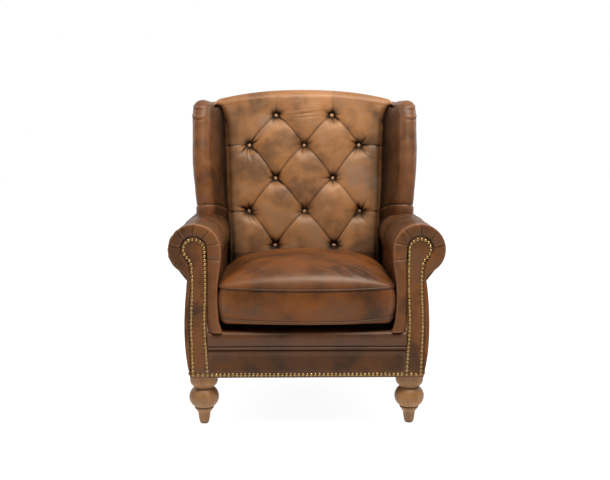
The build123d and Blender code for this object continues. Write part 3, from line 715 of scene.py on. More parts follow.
# ---- facings and their pleated borders -----------------------------------
# A keyhole board covered in hide is nailed to the front of each arm. Round it a padded
# border is gathered in pleats over the scroll and runs straight down both sides.
HEAD_X, HEAD_Z, HEAD_R = 357.7, 574.0, 41.0
BODY_FOOT, NECK_Z, SMOOTHED_ROWS = 160.5, 545.0, 112
FACING_Z = [160, 183, 221, 265, 337, 399, 460, 524, 545]
FACING_IN = [312.0, 313.0, 315.4, 317.3, 321.5, 318.0, 316.4, 316.2, 319.0]
FACING_OUT = [370.0, 371.0, 373.0, 374.3, 376.0, 373.0, 370.0, 371.5, 384.0]


def facing_panel(side):
    """The nailed panel, gently crowned, from its foot to the top of the keyhole."""
    low = np.linspace(BODY_FOOT, NECK_Z, 118)
    high = np.linspace(NECK_Z, HEAD_Z + HEAD_R - 0.2, 34)[1:]
    reach = np.sqrt(np.maximum(HEAD_R**2 - (high - HEAD_Z) ** 2, 0.3))
    z = np.concatenate([low, high])
    x0 = np.concatenate([np.interp(low, FACING_Z, FACING_IN), HEAD_X - reach])
    x1 = np.concatenate([np.interp(low, FACING_Z, FACING_OUT), HEAD_X + reach])
    for edge in (x0, x1):
        core = np.convolve(np.pad(edge, 4, mode="edge"), np.ones(9) / 9, mode="valid")
        edge[:SMOOTHED_ROWS] = core[:SMOOTHED_ROWS]
    s = np.linspace(0, 1, 27)
    x = x0[:, None] + (x1 - x0)[:, None] * s
    depth = 3.2 * (1 - np.abs(2 * s - 1) ** 6)[None, :] * np.ones((len(z), 1))
    zz = np.repeat(z[:, None], len(s), axis=1)
    world = np.stack([x * side, np.full(x.shape, -400.0), zz], axis=-1)
    gathers = 0.9 * np.maximum(waves(world * np.array([1.6, 1, 0.5]), 20.0, 41 + side), 0)
    depth = depth + 0.6 * waves(world, 50.0, 43 + side) - gathers
    return np.stack([x * side, -399.0 - depth, zz], axis=-1)


# Inner x and z, then outer x and z: up the inside, over the scroll and down the outside.
BORDER_STATIONS = [(312, 309, 270, 308), (318, 337, 280, 335), (319, 399, 285, 400),
                   (318, 460, 284, 462), (317.5, 500, 278, 502), (317.5, 535, 272.5, 538)]
BORDER_STATIONS += [
    (HEAD_X + 38.5 * math.cos(a), HEAD_Z + 38.5 * math.sin(a), ROLL_X + 84.5 * math.cos(a),
     ROLL_Z + 84.5 * math.sin(a))
    for a in np.radians(np.linspace(186, -36, 26))
]
BORDER_STATIONS += [(381, 543, 410, 511), (374, 532, 391, 501), (369, 517, 377, 494), (366.5, 494, 375, 484),
                    (367.5, 470, 380, 468), (368.5, 430, 384.5, 430), (371.5, 393, 387.5, 393),
                    (374, 337, 390, 345), (373, 285, 390, 297), (371.5, 234, 387, 240),
                    (370, 185, 379.5, 190), (368.5, BODY_FOOT, 373.8, BODY_FOOT)]


def length_along(line):
    """Length run from the first point of a line to each of its points."""
    return np.concatenate([[0], np.cumsum(np.linalg.norm(np.diff(line, axis=0), axis=1))])


def border_lines():
    """Matched points along the inner and outer edge of the padded border, foot to foot."""
    stations = np.array(BORDER_STATIONS, dtype=float)
    middle = (stations[:, :2] + stations[:, 2:]) / 2
    step = length_along(middle)
    even = np.linspace(0, step[-1], 560)
    lines = np.stack([np.interp(even, step, stations[:, k]) for k in range(4)], axis=1)
    for _ in range(60):
        lines[1:-1] = (lines[:-2] + lines[2:]) / 2
    return lines


# Where the pleats sit round the scroll, in degrees from the outside.
PLEATS = (205, 163, 127, 88, 47, 10)


def front_border(side):
    """The padded border: a roll that rises round the facing and turns back over the arm."""
    lines = border_lines()
    v = np.linspace(0, 1, 34)
    inner, outer = lines[:, None, 0:2], lines[:, None, 2:4]
    wide = np.linalg.norm(lines[:, 2:4] - lines[:, 0:2], axis=1)[:, None]
    across = np.clip(v * 1.16, 0, 1)[None, :, None]
    flat = inner + (outer - inner) * across
    rise = np.minimum(11.5, wide * 0.34)
    profile = np.sin(np.clip(v * 1.02, 0, 1) * math.pi * 0.86) ** 0.75
    y = -398.0 - rise * profile[None, :]
    back_turn = np.clip((v - 0.84) / 0.16, 0, 1) ** 1.3
    y = y + 18.0 * back_turn[None, :]
    middle = flat.mean(axis=1)
    turn = np.degrees(np.arctan2(middle[:, 1] - HEAD_Z, middle[:, 0] - HEAD_X)) % 360
    on_head = np.exp(-((np.clip(515 - middle[:, 1], 0, 200) / 26.0) ** 2))
    for pleat in PLEATS:
        gap = (turn - pleat + 180) % 360 - 180
        lean = gap[:, None] - 4.0 * (v - 0.3)[None, :]
        deep = 2.6 * np.exp(-((lean / 1.5) ** 2)) - 1.6 * np.exp(-(((lean - 5) / 4.5) ** 2))
        y = y + deep * on_head[:, None] * (np.sin(v * math.pi) ** 0.45)[None, :]
    world = np.stack([flat[..., 0] * side, y, flat[..., 1]], axis=-1)
    y = y - 0.8 * waves(world, 46.0, 51 + side) * np.sin(v * math.pi)[None, :]
    return np.stack([flat[..., 0] * side, y, flat[..., 1]], axis=-1)


for side_name, side in SIDES:
    facing = hide_over(f"facing_leather_{side_name}", facing_panel(side), (0, 1, 0), hide,
                       lining=7.5, behind=0.0)
    border = hide_over(f"arm_border_{side_name}", front_border(side), (0, 1, 0), hide,
                       lining=1.0, behind=4.0)
    for piece, node in ((facing, "facing_panel"), (border, "arm_front_border")):
        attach(piece, "chair")
        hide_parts(f"{node}_{side_name}")

# ---- outside arm panels --------------------------------------------------
# Flat hide stretched from under the scroll to the bottom rail and from front to back.
for side_name, side in SIDES:
    z = np.linspace(BODY_FOOT, 506, 80)
    x = np.interp(z, [160, 177, 197, 236, 297, 384, 461, 507],
                  [374, 378, 382, 385.5, 388.5, 386.5, 381.5, 375])
    q = np.linspace(0, 1, 130)
    y = ARM_FRONT + q[:, None] * (rear_y(z)[None, :] - 6 - ARM_FRONT)
    xx = np.repeat(x[None, :], len(q), axis=0)
    zz = np.repeat(z[None, :], len(q), axis=0)
    world = np.stack([xx * side, y, zz], axis=-1)
    xx = xx + 1.0 * waves(world, 170.0, 61 + side) + 0.35 * waves(world, 45.0, 63 + side)
    panel = hide_over(f"outside_arm_leather_{side_name}", np.stack([xx * side, y, zz], axis=-1),
                      (-side, 0, 0), hide, lining=3.0, behind=2.0)
    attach(panel, "chair")
    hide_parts(f"outside_arm_{side_name}")

# ---- wings ---------------------------------------------------------------
# A board on each back post, padded and covered. The hide is rolled round the front and
# the top, pleated where the roll turns the upper corner, and seamed above the arm.
WING_FOOT, WING_TOP, WING_ROLL, WING_NOSE = 575.0, 1058.0, 66.0, 31.0


def wing_out_x(z):
    """Outside face of a wing."""
    return np.interp(z, [560, 640, 678, 728, 792, 877, 982, 1017, 1060],
                     [384, 387, 387, 392, 397.5, 403, 405, 404, 400])


def spaced(line, count):
    """As many points as count, spread evenly along a line."""
    step = length_along(line)
    even = np.linspace(0, step[-1], count)
    return np.stack([np.interp(even, step, line[:, k]) for k in range(line.shape[1])], axis=1)


def rounded(points, count, rounds):
    """A finer copy of a line of points, with its corners eased by rounds of smoothing."""
    line = spaced(np.asarray(points, dtype=float), count)
    for _ in range(rounds):
        line[1:-1] = (line[:-2] + line[2:]) / 2
    return line


def wing(side):
    """A wing's hide: rows from foot to rear top, each from the outside round to the back."""
    rows = 190
    rear_top = rear_y(WING_TOP) - 6
    outline = [(-32, WING_FOOT), (-32, 690), (-14, 790), (16, 900), (44, 985), (60, 1030),
               (84, WING_TOP), (150, WING_TOP), (rear_top, WING_TOP)]
    edge = spaced(rounded(outline, 400, 70), rows)
    tangent = np.gradient(edge, axis=0)
    tangent /= np.linalg.norm(tangent, axis=1, keepdims=True)
    outward = np.stack([-tangent[:, 1], tangent[:, 0]], axis=1)
    base = edge - outward * WING_NOSE
    share = np.linspace(0, 1, rows)
    rear_z = WING_FOOT + (WING_TOP - WING_NOSE - 4 - WING_FOOT) * np.minimum(1, share * 1.28)
    rear = np.stack([rear_y(rear_z) - 2, rear_z], axis=1)
    rear[:, 0] = np.maximum(rear[:, 0], base[:, 0] + 1)
    crease_z = WING_FOOT + (WING_TOP - 5 - WING_FOOT) * np.minimum(1, share * 1.28)
    late = np.clip((share - 0.78) / 0.22, 0, 1)
    crease_y = face_y(crease_z) + 30
    crease_y = np.maximum(crease_y + (rear_y(WING_TOP) - 8 - crease_y) * late, base[:, 0] + 1)
    out_x = wing_out_x(base[:, 1])
    crease_x = np.minimum(seam_x(crease_z) - 1, out_x - WING_ROLL * 0.98)
    crease_x = np.where(late > 0, out_x - WING_ROLL - 16, crease_x)
    crease_z = crease_z - 9 * (late > 0)
    outer = np.linspace(0, 1, 30)[:-1]
    roll = np.linspace(0, math.pi, 34)
    inner = np.linspace(0, 1, 34)[1:]
    grid = np.zeros((rows, len(outer) + len(roll) + len(inner), 3))
    half = WING_ROLL / 2
    for r in range(rows):
        flat = rear[r] + (base[r] - rear[r]) * outer[:, None]
        belly = 4.0 * np.sin(outer * math.pi)
        a = np.stack([np.full(len(outer), out_x[r]) + belly, flat[:, 0], flat[:, 1]], axis=1)
        nose = base[r] + outward[r] * WING_NOSE * (np.sin(roll) ** 0.85)[:, None]
        b = np.stack([out_x[r] - half + half * np.cos(roll), nose[:, 0], nose[:, 1]], axis=1)
        goal = np.array([crease_x[r], crease_y[r], crease_z[r]])
        start = np.array([out_x[r] - WING_ROLL, base[r, 0], base[r, 1]])
        c = start + (goal - start) * inner[:, None]
        c[:, 0] -= 5.0 * np.sin(inner * math.pi)
        grid[r] = np.concatenate([a, b, c])
    grid = soften(grid, 24)
    world = grid * np.array([side, 1, 1])
    normal = grid_normals(grid)
    if normal[20, 5, 0] < 0:
        normal = -normal
    y, z = grid[..., 1], grid[..., 2]
    swell = 1.6 * waves(world, 150.0, 71 + side) + 0.6 * waves(world, 45.0, 73 + side)
    columns = np.arange(grid.shape[1])
    on_roll = np.clip(1 - np.abs(columns - 36) / 14.0, 0, 1) ** 0.5
    for height in (1023.0, 988.0):
        line = height + 2.0 * np.sin(columns / 4.0)[None, :]
        front = np.exp(-((np.clip(y - 95, 0, 400) / 40.0) ** 2))
        swell -= 4.2 * np.exp(-(((z - line) / 2.0) ** 2)) * on_roll[None, :] * front
        swell += 2.4 * np.exp(-(((z - line - 8) / 6.0) ** 2)) * on_roll[None, :] * front
    arc = 688.0 - 0.021 * (columns[None, :] - 50) ** 2
    swell -= 2.6 * np.exp(-(((z - arc) / 2.2) ** 2))
    swell += 2.4 * np.exp(-(np.clip(arc - 8 - z, 0, 60) / 26.0)) * (z < arc - 4)
    grid = grid + normal * np.clip(swell, -4.5, 4.5)[..., None]
    roll_top = ROLL_Z + np.sqrt(np.maximum(ROLL_R**2 - (grid[..., 0] - ROLL_X) ** 2, 0))
    grid[..., 2] = np.maximum(grid[..., 2], np.minimum(roll_top - 6, 660))
    return grid * np.array([side, 1, 1])


def wing_shade(p):
    """Painted shade down the inside of the wing, towards the back."""
    gap = np.clip(np.abs(p[:, 0]) - seam_x(p[:, 2]), 0, 100)
    inside = (np.abs(p[:, 0]) < wing_out_x(p[:, 2]) - 30) * (p[:, 2] < 1040)
    return 1.0, (0.8 * np.exp(-gap / 16.0) + 0.22 * np.exp(-((gap / 62.0) ** 2))) * inside


for side_name, side in SIDES:
    wing_piece = hide_over(f"wing_leather_{side_name}", wing(side), (0, 1, 0), hide,
                           lining=1.0, behind=1.0, shade=wing_shade)
    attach(wing_piece, "chair")
    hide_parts(f"wing_cover_{side_name}", f"wing_pad_{side_name}")

# ---- outside back --------------------------------------------------------
# One hide stretched over a board: it follows the body, the ends of the scrolls, the
# wings and the crest, and its edges are turned in over the side panels.


def outside_half(z):
    """Half the width of the outside back at a height."""
    body = np.interp(z, [160, 197, 236, 300, 500], [374, 381, 385, 388, 388])
    scroll = ROLL_X + np.sqrt(np.maximum(ROLL_R**2 - (z - ROLL_Z) ** 2, 0))
    scroll = np.where(np.abs(z - ROLL_Z) < ROLL_R, scroll, 0)
    upper = wing_out_x(z) + 1
    corner = np.where(z > 1022, 30 - np.sqrt(np.maximum(900 - np.clip(z - 1022, 0, 30) ** 2, 0)), 0)
    upper = upper - corner
    arch = CREST_HALF * (np.maximum(CREST_Z - z, 0.05) / CREST_DROP) ** (1 / CREST_POWER)
    width = np.where(z < 520, np.maximum(body, scroll), np.maximum(upper, scroll))
    return np.where(z > 1056, arch, width)


z = np.concatenate([np.linspace(BODY_FOOT, 1052, 150), np.linspace(1054, 1099.5, 18)])
s = np.linspace(-1, 1, 121)
x = outside_half(z)[:, None] * s[None, :]
zz = np.repeat(z[:, None], len(s), axis=1)
rim = np.minimum(outside_half(z)[:, None] * (1 - np.abs(s))[None, :], 18.0)
world = np.stack([x, rear_y(zz), zz], axis=-1)
y = rear_y(zz) + 3.5 * np.sqrt(rim / 18.0) - 2.0 + 1.0 * waves(world, 190.0, 81)
outside_back = hide_over("outside_back_leather", np.stack([x, y, zz], axis=-1), (0, -1, 0), hide,
                         lining=3.0, behind=2.0)
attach(outside_back, "chair")
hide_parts("outside_back_cover")

# ---- front border, edge roll and welt ------------------------------------
# Below the cushion a padded edge roll lies over the front rail. A welt parts it from a
# flat border that is nailed along the bottom.
FRONT_HALF = 317.0


def swept_across(section, half, columns, seed, swell):
    """A hide band along X from a section in (y, z), with slight unevenness."""
    x = np.linspace(-half, half, columns)
    grid = np.zeros((columns, len(section), 3))
    for n, (y, z) in enumerate(section):
        grid[:, n] = np.stack([x, np.full(columns, y), np.full(columns, z)], axis=1)
    lift = swell * waves(grid, 120.0, seed) + 0.3 * swell * waves(grid, 36.0, seed + 1)
    free = np.sin(np.linspace(0, 1, len(section)) * math.pi) ** 0.5
    grid[..., 1] -= lift * free[None, :]
    grid[..., 2] += 0.5 * lift * free[None, :]
    return grid


turn = np.linspace(0, math.pi / 2, 16)
roll_section = [(-398.5, 262.0), (-403.0, 264.5), (-405.5, 270.0), (-406.5, 278.0), (-406.0, 288.0)]
roll_section += [(-388 - 17.5 * math.cos(a), 294 + 17 * math.sin(a)) for a in turn]
roll_section += [(y, 311.0) for y in np.linspace(-382, -342, 8)]
edge_roll = hide_over("edge_roll_leather", swept_across(roll_section, FRONT_HALF, 200, 91, 1.2),
                      (0, 0.7, -0.7), band_hide_painted_shade, lining=4.0, behind=4.0)
band_section = [(-393.0, 251.5), (-398.5, 251.0), (-401.0, 248.0), (-402.2, 243.0)]
band_section += [(-402.4, z) for z in np.linspace(236, 180, 14)]
band_section += [(-401.5, 172.0), (-400.5, 165.0), (-399.5, 161.0), (-394.0, 160.3)]
low_band = hide_over("front_border_leather", swept_across(band_section, FRONT_HALF, 200, 95, 0.8),
                     (0, 1, 0), band_hide_painted_shade, lining=4.0, behind=2.0)


def piping(name, path, radius, closed):
    """A round welt along its line, as a slightly puckered tube round points in millimetres."""
    around = 14
    path = np.asarray(path, dtype=float)
    if closed:
        tangent = np.roll(path, -1, axis=0) - np.roll(path, 1, axis=0)
    else:
        tangent = np.gradient(path, axis=0)
    tangent /= np.linalg.norm(tangent, axis=1, keepdims=True)
    up = np.array([0.0, 0.0, 1.0])
    across = np.cross(tangent, up)
    across /= np.linalg.norm(across, axis=1, keepdims=True)
    lift = np.cross(across, tangent)
    count = len(path)
    step = np.linalg.norm(np.diff(path, axis=0), axis=1).mean()
    pucker = 1 + 0.05 * np.sin(np.arange(count) * step * 2 * math.pi / 11.0)
    points = []
    for n in range(count):
        for k in range(around):
            a = 2 * math.pi * k / around
            points.append(path[n] + pucker[n] * radius * (math.cos(a) * across[n] + math.sin(a) * lift[n]))
    faces = []
    for n in range(count if closed else count - 1):
        m = (n + 1) % count
        for k in range(around):
            j = (k + 1) % around
            faces.append((n * around + k, n * around + j, m * around + j, m * around + k))
    if not closed:
        faces.append(tuple(range(around)))
        faces.append(tuple((count - 1) * around + k for k in range(around)))
    return link_mesh(name, points, faces, band_hide_painted_shade)


x = np.linspace(-FRONT_HALF, FRONT_HALF, 210)
welt_line = np.stack([x, np.full_like(x, -400.5), np.full_like(x, 256.8)], axis=1)
front_welt = piping("front_welt_leather", welt_line, 4.6, False)
for piece, nodes in ((edge_roll, ("edge_roll_cover", "edge_roll_pad")), (low_band, ("front_border",)),
                     (front_welt, ("front_welt",))):
    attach(piece, "chair")
    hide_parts(*nodes)

# ---- sprung deck ---------------------------------------------------------
# Black platform cloth over felt on the zig-zag springs, quilted in wide rows. It shows
# only when the cushion is drawn out.
platform_cloth, shader, place = new_material("platform_cloth")
weave = place.node("ShaderNodeTexWave", {"wave_type": "BANDS", "bands_direction": "X"},
                   Vector=place, Scale=420.0, Distortion=0.6)
weft = place.node("ShaderNodeTexWave", {"wave_type": "BANDS", "bands_direction": "Y"},
                  Vector=place, Scale=420.0, Distortion=0.6)
thread = place.out(weave, "Fac") * place.out(weft, "Fac")
cloudy = place.noise(30.0, 3.0)
connect(shader, "Base Color",
        place.mix(thread * 0.6 + cloudy * 0.4, (0.005, 0.0045, 0.004), (0.022, 0.020, 0.018)))
connect(shader, "Roughness", 0.85 + cloudy * 0.1)
ribs = place.node("ShaderNodeBump", {}, Strength=0.4, Distance=0.0006, Height=thread)
connect(shader, "Normal", place.out(ribs))

DECK_HALF, DECK_FRONT, DECK_REAR = 284.0, -341.0, 205.0
deck_middle, deck_reach = (DECK_REAR + DECK_FRONT) / 2, (DECK_REAR - DECK_FRONT) / 2
x = np.linspace(-DECK_HALF, DECK_HALF, 120)
y = np.linspace(DECK_FRONT, DECK_REAR, 116)
xx, yy = np.meshgrid(x, y, indexing="ij")
sag = -1.5 * (1 - (xx / DECK_HALF) ** 2) * (1 - ((yy - deck_middle) / deck_reach) ** 2)
quilt = sum(np.exp(-(((yy - row) / 3.0) ** 2)) for row in (-250, -150, -50, 50, 150))
zz = 317.5 + sag - 2.0 * quilt
deck = hide_over("seat_deck", np.stack([xx, yy, zz], axis=-1), (0, 0, -1), platform_cloth,
                 lining=30.0, behind=18.0)
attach(deck, "chair")
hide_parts("deck_cover", "deck_pad")

# ---- loose seat cushion --------------------------------------------------
# A boxed cushion with a crowned foam core. Its front bows out between square corners,
# piping is sewn round the upper and lower seams, and a zip closes the back.
CUSHION_HALF, CUSHION_FRONT, CUSHION_REAR, CUSHION_BOW = 279.0, -394.0, 112.0, 19.0
CUSHION_CENTRE = np.array([0.0, -140.0])
UNDER_Z, UNDER_TURN = 319.4, 24.0
UNDER_RINGS, TURN_RINGS, BOXING_RINGS = 16, 11, 34


def cushion_plan(count):
    """Points round the cushion's seam, evenly spaced, with rounded corners."""
    front = [(x, CUSHION_FRONT - CUSHION_BOW * (1 - (x / CUSHION_HALF) ** 2))
             for x in np.linspace(-CUSHION_HALF, CUSHION_HALF, 30)]
    corners = front + [(CUSHION_HALF, y) for y in np.linspace(-380, 100, 30)]
    corners += [(x, CUSHION_REAR) for x in np.linspace(CUSHION_HALF, -CUSHION_HALF, 30)]
    corners += [(-CUSHION_HALF, y) for y in np.linspace(100, -380, 30)]
    line = np.array(corners)
    closed = np.vstack([line, line[:1]])
    step = length_along(closed)
    fine, window = 1200, 23
    even = np.linspace(0, step[-1], fine, endpoint=False)
    dense = np.stack([np.interp(even, step, closed[:, k]) for k in range(2)], axis=1)
    for _ in range(2):
        padded = np.concatenate([dense[-window:], dense, dense[:window]])
        dense = np.stack([np.convolve(padded[:, k], np.ones(window) / window, mode="same")
                          for k in range(2)], axis=1)[window:-window]
    return dense[:: fine // count]


def seam_lift(x, y, corner, middle):
    """Height of a seam, which dips along the middle of the front."""
    front = np.clip((-y - 250) / 160.0, 0, 1)
    return corner + (middle - corner) * front * (1 - np.abs(x / CUSHION_HALF) ** 2.5)


def underside_z(y):
    """Height of the cushion's underside, which lifts over the edge roll."""
    return UNDER_Z + 13.0 * np.clip((-y - 270) / 110, 0, 1) ** 1.5


def cushion():
    """Rings of the cushion from below to its crown, with its seam's plan and two heights."""
    plan = cushion_plan(400)
    away = plan - CUSHION_CENTRE
    out = np.stack([np.roll(plan, -1, axis=0)[:, 1] - np.roll(plan, 1, axis=0)[:, 1],
                    -(np.roll(plan, -1, axis=0)[:, 0] - np.roll(plan, 1, axis=0)[:, 0])], axis=1)
    out /= np.linalg.norm(out, axis=1, keepdims=True)
    out *= np.sign((out * away).sum(axis=1))[:, None]
    top_seam = seam_lift(plan[:, 0], plan[:, 1], 452.0, 446.0)
    low_seam = seam_lift(plan[:, 0], plan[:, 1], 356.0, 341.0)
    at_rear = np.clip((plan[:, 1] - 60) / 50, 0, 1)
    at_side = np.clip((np.abs(plan[:, 0]) - 240) / 30, 0, 1)
    at_corner = np.exp(-((np.abs(plan[:, 0]) - 272) / 14) ** 2) * np.clip((-plan[:, 1] - 372) / 14, 0, 1)
    bulge = 9.0 * (1 - at_rear) * (1 - 0.3 * at_side) + 4.5 * at_corner
    rings = []
    for q in np.linspace(0.03, 1, UNDER_RINGS):
        edge = plan - out * (UNDER_TURN * (1 - q) ** 0.1 if q < 1 else UNDER_TURN)
        flat = CUSHION_CENTRE + (edge - CUSHION_CENTRE) * q
        rings.append(np.column_stack([flat, underside_z(flat[:, 1])]))
    for q in np.linspace(0, 1, TURN_RINGS + 1)[1:]:
        a = q * math.pi / 2
        flat = plan - out * UNDER_TURN * (1 - math.sin(a))
        lifted = underside_z(flat[:, 1])
        rings.append(np.column_stack([flat, lifted + (low_seam - 3 - lifted) * (1 - math.cos(a))]))
    for q in np.linspace(0, 1, BOXING_RINGS):
        flat = plan + out * (bulge * math.sin(q * math.pi) ** 0.8)[:, None]
        rings.append(np.column_stack([flat, low_seam + (top_seam - low_seam) * q]))
    for q in np.linspace(0, 1, 96)[1:-5]:
        flat = CUSHION_CENTRE + away * (1 - q)
        rings.append(np.column_stack([flat, top_seam]))
    grid = np.array(rings)
    boxing_start = UNDER_RINGS + TURN_RINGS
    top = grid[boxing_start + BOXING_RINGS:]
    x = np.abs(top[..., 0]) / CUSHION_HALF
    front_line = CUSHION_FRONT - CUSHION_BOW * (1 - x**2)
    middle_y = CUSHION_CENTRE[1]
    v = np.where(top[..., 1] < middle_y, (middle_y - top[..., 1]) / (middle_y - front_line),
                 (top[..., 1] - middle_y) / (CUSHION_REAR - middle_y))
    round_x = np.maximum(1 - np.clip(x, 0, 1) ** 2.6, 0) ** 0.62
    round_y = np.maximum(1 - np.clip(v, 0, 1) ** 4.6, 0) ** 0.5
    dome = 78.0 * round_x * round_y
    dome += 1.6 * waves(top, 150.0, 101) * round_x * round_y
    dome += 0.5 * waves(top, 40.0, 102) * round_x * round_y
    crease_zone = np.exp(-(((top[..., 0] - 150) / 110) ** 2))
    crease_zone = crease_zone * np.exp(-(((top[..., 1] + 335) / 42) ** 2))
    lines = (top[..., 0] * 0.55 + top[..., 1] * 0.9) + 7 * waves(top, 70.0, 103)
    dome += 1.5 * crease_zone * np.sin(lines / 3.4) + 1.3 * crease_zone * np.sin(lines / 8.0 + 1)
    left_zone = np.exp(-(((top[..., 0] + 170) / 90) ** 2)) * np.exp(-(((top[..., 1] + 340) / 34) ** 2))
    left_lines = (-top[..., 0] * 0.5 + top[..., 1]) + 6 * waves(top, 60.0, 104)
    dome += 0.7 * left_zone * np.sin(left_lines / 5.0)
    top[..., 2] += dome
    box = grid[boxing_start:boxing_start + BOXING_RINGS]
    free = np.sin(np.linspace(0, 1, BOXING_RINGS) * math.pi)[:, None]
    lift = (0.9 * waves(box, 90.0, 105) + 0.35 * waves(box, 30.0, 106)) * free
    box[..., 0:2] += out[None] * np.minimum(lift, 1.0)[..., None] * (1 - at_rear)[None, :, None]
    return grid, plan, top_seam, low_seam


def closed_rings(name, grid, material, shade=None):
    """A closed form from rings of points that shrink to a pole at each end."""
    rings, around = grid.shape[:2]
    poles = [grid[0].mean(axis=0), grid[-1].mean(axis=0)]
    points = np.vstack([grid.reshape(-1, 3), poles])
    return link_mesh(name, points, ring_faces(rings, around), material, shade)


cushion_grid, seam_plan, top_seam, low_seam = cushion()
cushion_hide = antiqued_leather("cushion_hide", (0.024, 0.0100, 0.0050), (0.078, 0.0265, 0.0070),
                                (0.185, 0.0530, 0.0080), (0.080, 0.043, 0.025))


def cushion_shade(p):
    """No marks round the poles of the form, where its points crowd together."""
    near = np.hypot(p[:, 0], p[:, 1] - CUSHION_CENTRE[1])
    return np.clip((near - 130) / 90.0, 0, 1), 0.0


seat_cushion = closed_rings("seat_cushion", cushion_grid, cushion_hide, cushion_shade)
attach(seat_cushion, "cushion")
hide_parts("cushion_casing", "cushion_core")
for name, heights in (("cushion_piping_top", top_seam), ("cushion_piping_bottom", low_seam)):
    outwards = seam_plan - CUSHION_CENTRE
    outwards /= np.linalg.norm(outwards, axis=1, keepdims=True)
    line = np.column_stack([seam_plan + outwards * 1.6, heights])
    welt = piping(name, line, 3.1, True)
    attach(welt, "cushion")
    if name.endswith("top"):
        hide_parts("cushion_welts")

# ---- cushion zip ---------------------------------------------------------
# A spiral zip on woven tape, sewn into the back of the boxing, with a brass slider.
ZIP_HALF, ZIP_Z, TOOTH_PITCH = 225.0, 385.0, 3.0
x = np.linspace(-ZIP_HALF - 5, ZIP_HALF + 5, 90)
z = np.linspace(ZIP_Z - 13, ZIP_Z + 13, 9)
xx, zz = np.meshgrid(x, z, indexing="ij")
tape = hide_over("zip_tape", np.stack([xx, CUSHION_REAR + 1.3 + 0.15 * np.sin(xx / 9.0), zz], axis=-1),
                 (0, -1, 0), platform_cloth, lining=1.0, behind=0.0)
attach(tape, "cushion")
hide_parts("cushion_zip")
zip_metal, shader, place = new_material("dark_zip_metal")
tarnish = place.noise(160.0, 3.0)
connect(shader, "Base Color", place.mix(tarnish.spread(0.3, 0.7), (0.10, 0.075, 0.04), (0.26, 0.20, 0.11)))
connect(shader, "Roughness", 0.3 + tarnish * 0.2)
shader.inputs["Metallic"].default_value = 1.0
tooth = turned_shape("zip_tooth", [(1.1, -0.5), (1.1, 0.5)], 6, zip_metal)
tooth_spots = []
for n in range(int((2 * ZIP_HALF - 22) / TOOTH_PITCH)):
    row_z = ZIP_Z + (1.0 if n % 2 else -1.0)
    tooth_spots.append(((-ZIP_HALF + 20 + TOOTH_PITCH * n, CUSHION_REAR + 1.9, row_z), (0, 1, 0)))
teeth = repeated("zip_teeth", tooth_spots, tooth, zip_metal, (1.0, 1.0))
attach(teeth, "cushion")
frame["nodes"]["zip_slider"].data.materials[0] = zip_metal

# ---- decorative nails ----------------------------------------------------
# Domed nails in antique brass, set edge to edge round both facings and along the
# bottom of the front and the sides.
antique_brass, shader, place = new_material("antique_brass")
patina = place.noise(210.0, 3.0, 0.6)
blotch = place.noise(60.0, 2.0)
connect(shader, "Base Color", place.mix(patina.spread(0.35, 0.7), (0.46, 0.30, 0.11), (0.17, 0.10, 0.04)))
connect(shader, "Roughness", 0.24 + blotch * 0.22)
dents = place.node("ShaderNodeBump", {}, Strength=0.25, Distance=0.0004, Height=patina)
connect(shader, "Normal", place.out(dents))
shader.inputs["Metallic"].default_value = 0.95

NAIL_PITCH, NAIL_ROW, NAIL_FACE_Y = 12.8, 171.0, -401.6
NAIL_DOME = [(5.4, -1.2), (5.7, 0.1), (5.3, 1.5), (4.2, 2.8), (2.7, 3.8), (1.1, 4.2)]


def nail_head():
    """One nail's domed head."""
    return turned_shape("nail_head", NAIL_DOME, 12, antique_brass)


head_arc = [(HEAD_X + 34.5 * math.cos(a), HEAD_Z + 34.5 * math.sin(a))
            for a in np.radians(np.linspace(190, -38, 30))]
keyhole = [(318.6, NAIL_ROW), (321.8, 221), (323.9, 272), (328.0, 337), (324.6, 399),
           (322.6, 460), (322.7, 524)]
keyhole += head_arc
keyhole += [(374.0, 545), (366.5, 533), (363.0, 491), (363.8, 430), (366.8, 393), (369.0, 337), (368, 285),
            (366.5, 234), (364.5, NAIL_ROW)]
keyhole_line = rounded(keyhole, 700, 60)
column = spaced(keyhole_line, int(round(length_along(keyhole_line)[-1] / NAIL_PITCH)) + 1)
front_spots = []
for side in (1, -1):
    for px, pz in column:
        front_spots.append(((side * px, NAIL_FACE_Y, pz), (0, -1, 0)))
    for px in (334, 349):
        front_spots.append(((side * px, -402.0, NAIL_ROW), (0, -1, 0)))
FRONT_COUNT = 47
for n in range(FRONT_COUNT):
    front_spots.append(((-304 + 608 * n / (FRONT_COUNT - 1), NAIL_FACE_Y, NAIL_ROW), (0, -1, 0)))
front_nails = repeated("front_brass_nails", front_spots, nail_head(), antique_brass, (0.96, 1.04))
side_spots = []
for side in (1, -1):
    for y in np.linspace(-385, 296, 53):
        side_spots.append(((side * 377.2, y, NAIL_ROW), (side * 0.98, 0, -0.18)))
side_nails = repeated("side_brass_nails", side_spots, nail_head(), antique_brass, (0.96, 1.04))
for piece, node in ((front_nails, "front_nails"), (side_nails, "side_nails")):
    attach(piece, "chair")
    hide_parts(node)

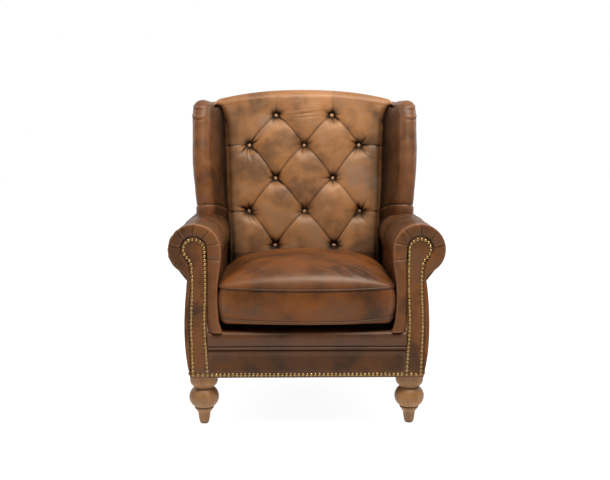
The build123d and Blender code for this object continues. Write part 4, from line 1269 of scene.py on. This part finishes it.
# ---- legs ----------------------------------------------------------------
# Solid hardwood: turned at the front, square and raked at the rear. A pale weathered
# stain sits in the grain and darkens in the turned grooves.
weathered_wood, shader, place = new_material("weathered_wood")
apart = place.out(place.node("ShaderNodeSeparateXYZ", {}, Vector=place), "Z")
grain = place.noise(55.0, 5.0, 0.62, stretch=(1.0, 1.0, 0.11))
ring = place.noise(16.0, 3.0, 0.5, stretch=(1.0, 1.0, 0.16))
pore = place.noise(420.0, 2.0, 0.6, stretch=(1.0, 1.0, 0.06))
wood = place.mix(grain.spread(0.3, 0.7), (0.170, 0.070, 0.018), (0.38, 0.175, 0.052))
wood = place.mix(ring.spread(0.45, 0.75) * 0.6, wood, (0.23, 0.130, 0.05))
wood = place.mix(pore.spread(0.56, 0.72) * 0.6, wood, (0.07, 0.034, 0.016))
for groove, reach in ((0.1205, 0.004), (0.0545, 0.003), (0.0485, 0.002)):
    near = place.maths("ABSOLUTE", apart - groove)
    wood = place.mix(near.spread(reach, 0.0) * 0.7, wood, (0.05, 0.024, 0.012))
connect(shader, "Base Color", wood)
connect(shader, "Roughness", 0.42 + grain.spread(0.3, 0.7) * 0.18)
figure = place.node("ShaderNodeBump", {}, Strength=0.3, Distance=0.0007, Height=grain * 0.6 + pore * 0.5)
connect(shader, "Normal", place.out(figure))
for side_name, side in SIDES:
    for leg in ("front_leg", "rear_leg"):
        frame["nodes"][f"{leg}_{side_name}"].data.materials[0] = weathered_wood

# ---- hidden frame --------------------------------------------------------
# Beech rails and posts, glued blocks, steel springs, clips and bolts, felt and webbing,
# all behind the hide. Each keeps its own plain finish.


def plain_finish(name, dark, light, scale, rough, metal=0.0, stretch=None, height=0.0006):
    """A simple finish with two tones, uneven gloss and slight relief."""
    material, shader, place = new_material(name)
    tone = place.noise(scale, 4.0, 0.6, stretch=stretch)
    connect(shader, "Base Color", place.mix(tone.spread(0.3, 0.7), dark, light))
    connect(shader, "Roughness", rough + tone * 0.12)
    bump = place.node("ShaderNodeBump", {}, Strength=0.3, Distance=height, Height=tone)
    connect(shader, "Normal", place.out(bump))
    shader.inputs["Metallic"].default_value = metal
    return material


finishes = {
    "frame_wood": plain_finish("beech", (0.42, 0.27, 0.14), (0.62, 0.44, 0.25), 60.0, 0.55,
                               stretch=(0.2, 1.0, 1.0)),
    "steel": plain_finish("spring_steel", (0.16, 0.16, 0.17), (0.34, 0.34, 0.35), 90.0, 0.3, 1.0),
    "board": plain_finish("back_fibreboard", (0.28, 0.20, 0.13), (0.40, 0.31, 0.21), 130.0, 0.8),
    "cloth": platform_cloth,
    "twine": plain_finish("waxed_twine", (0.42, 0.36, 0.24), (0.60, 0.54, 0.40), 700.0, 0.6),
    "glide": plain_finish("glide_nylon", (0.035, 0.03, 0.027), (0.07, 0.062, 0.055), 200.0, 0.5),
}
for entry in frame["record"]["subparts"]:
    finish = finishes.get(entry["material_slot"])
    if finish and entry["node"] not in ("deck_cover", "cushion_zip"):
        frame["nodes"][entry["node"]].data.materials[0] = finish

# ---- dust cover ----------------------------------------------------------
# Thin black cloth stapled under the frame, a little slack between the rails.
x = np.linspace(-366, 366, 74)
y = np.linspace(-390, 299, 70)
xx, yy = np.meshgrid(x, y, indexing="ij")
slack = (1 - (xx / 366) ** 2) * (1 - ((yy + 45) / 345) ** 2)
grid = np.stack([xx, yy, 158.6 - 3.0 * slack], axis=-1)
cover = hide_over("dust_cloth", grid, (0, 0, 1), platform_cloth, lining=0.8, behind=0.0)
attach(cover, "chair")
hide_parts("dust_cover")
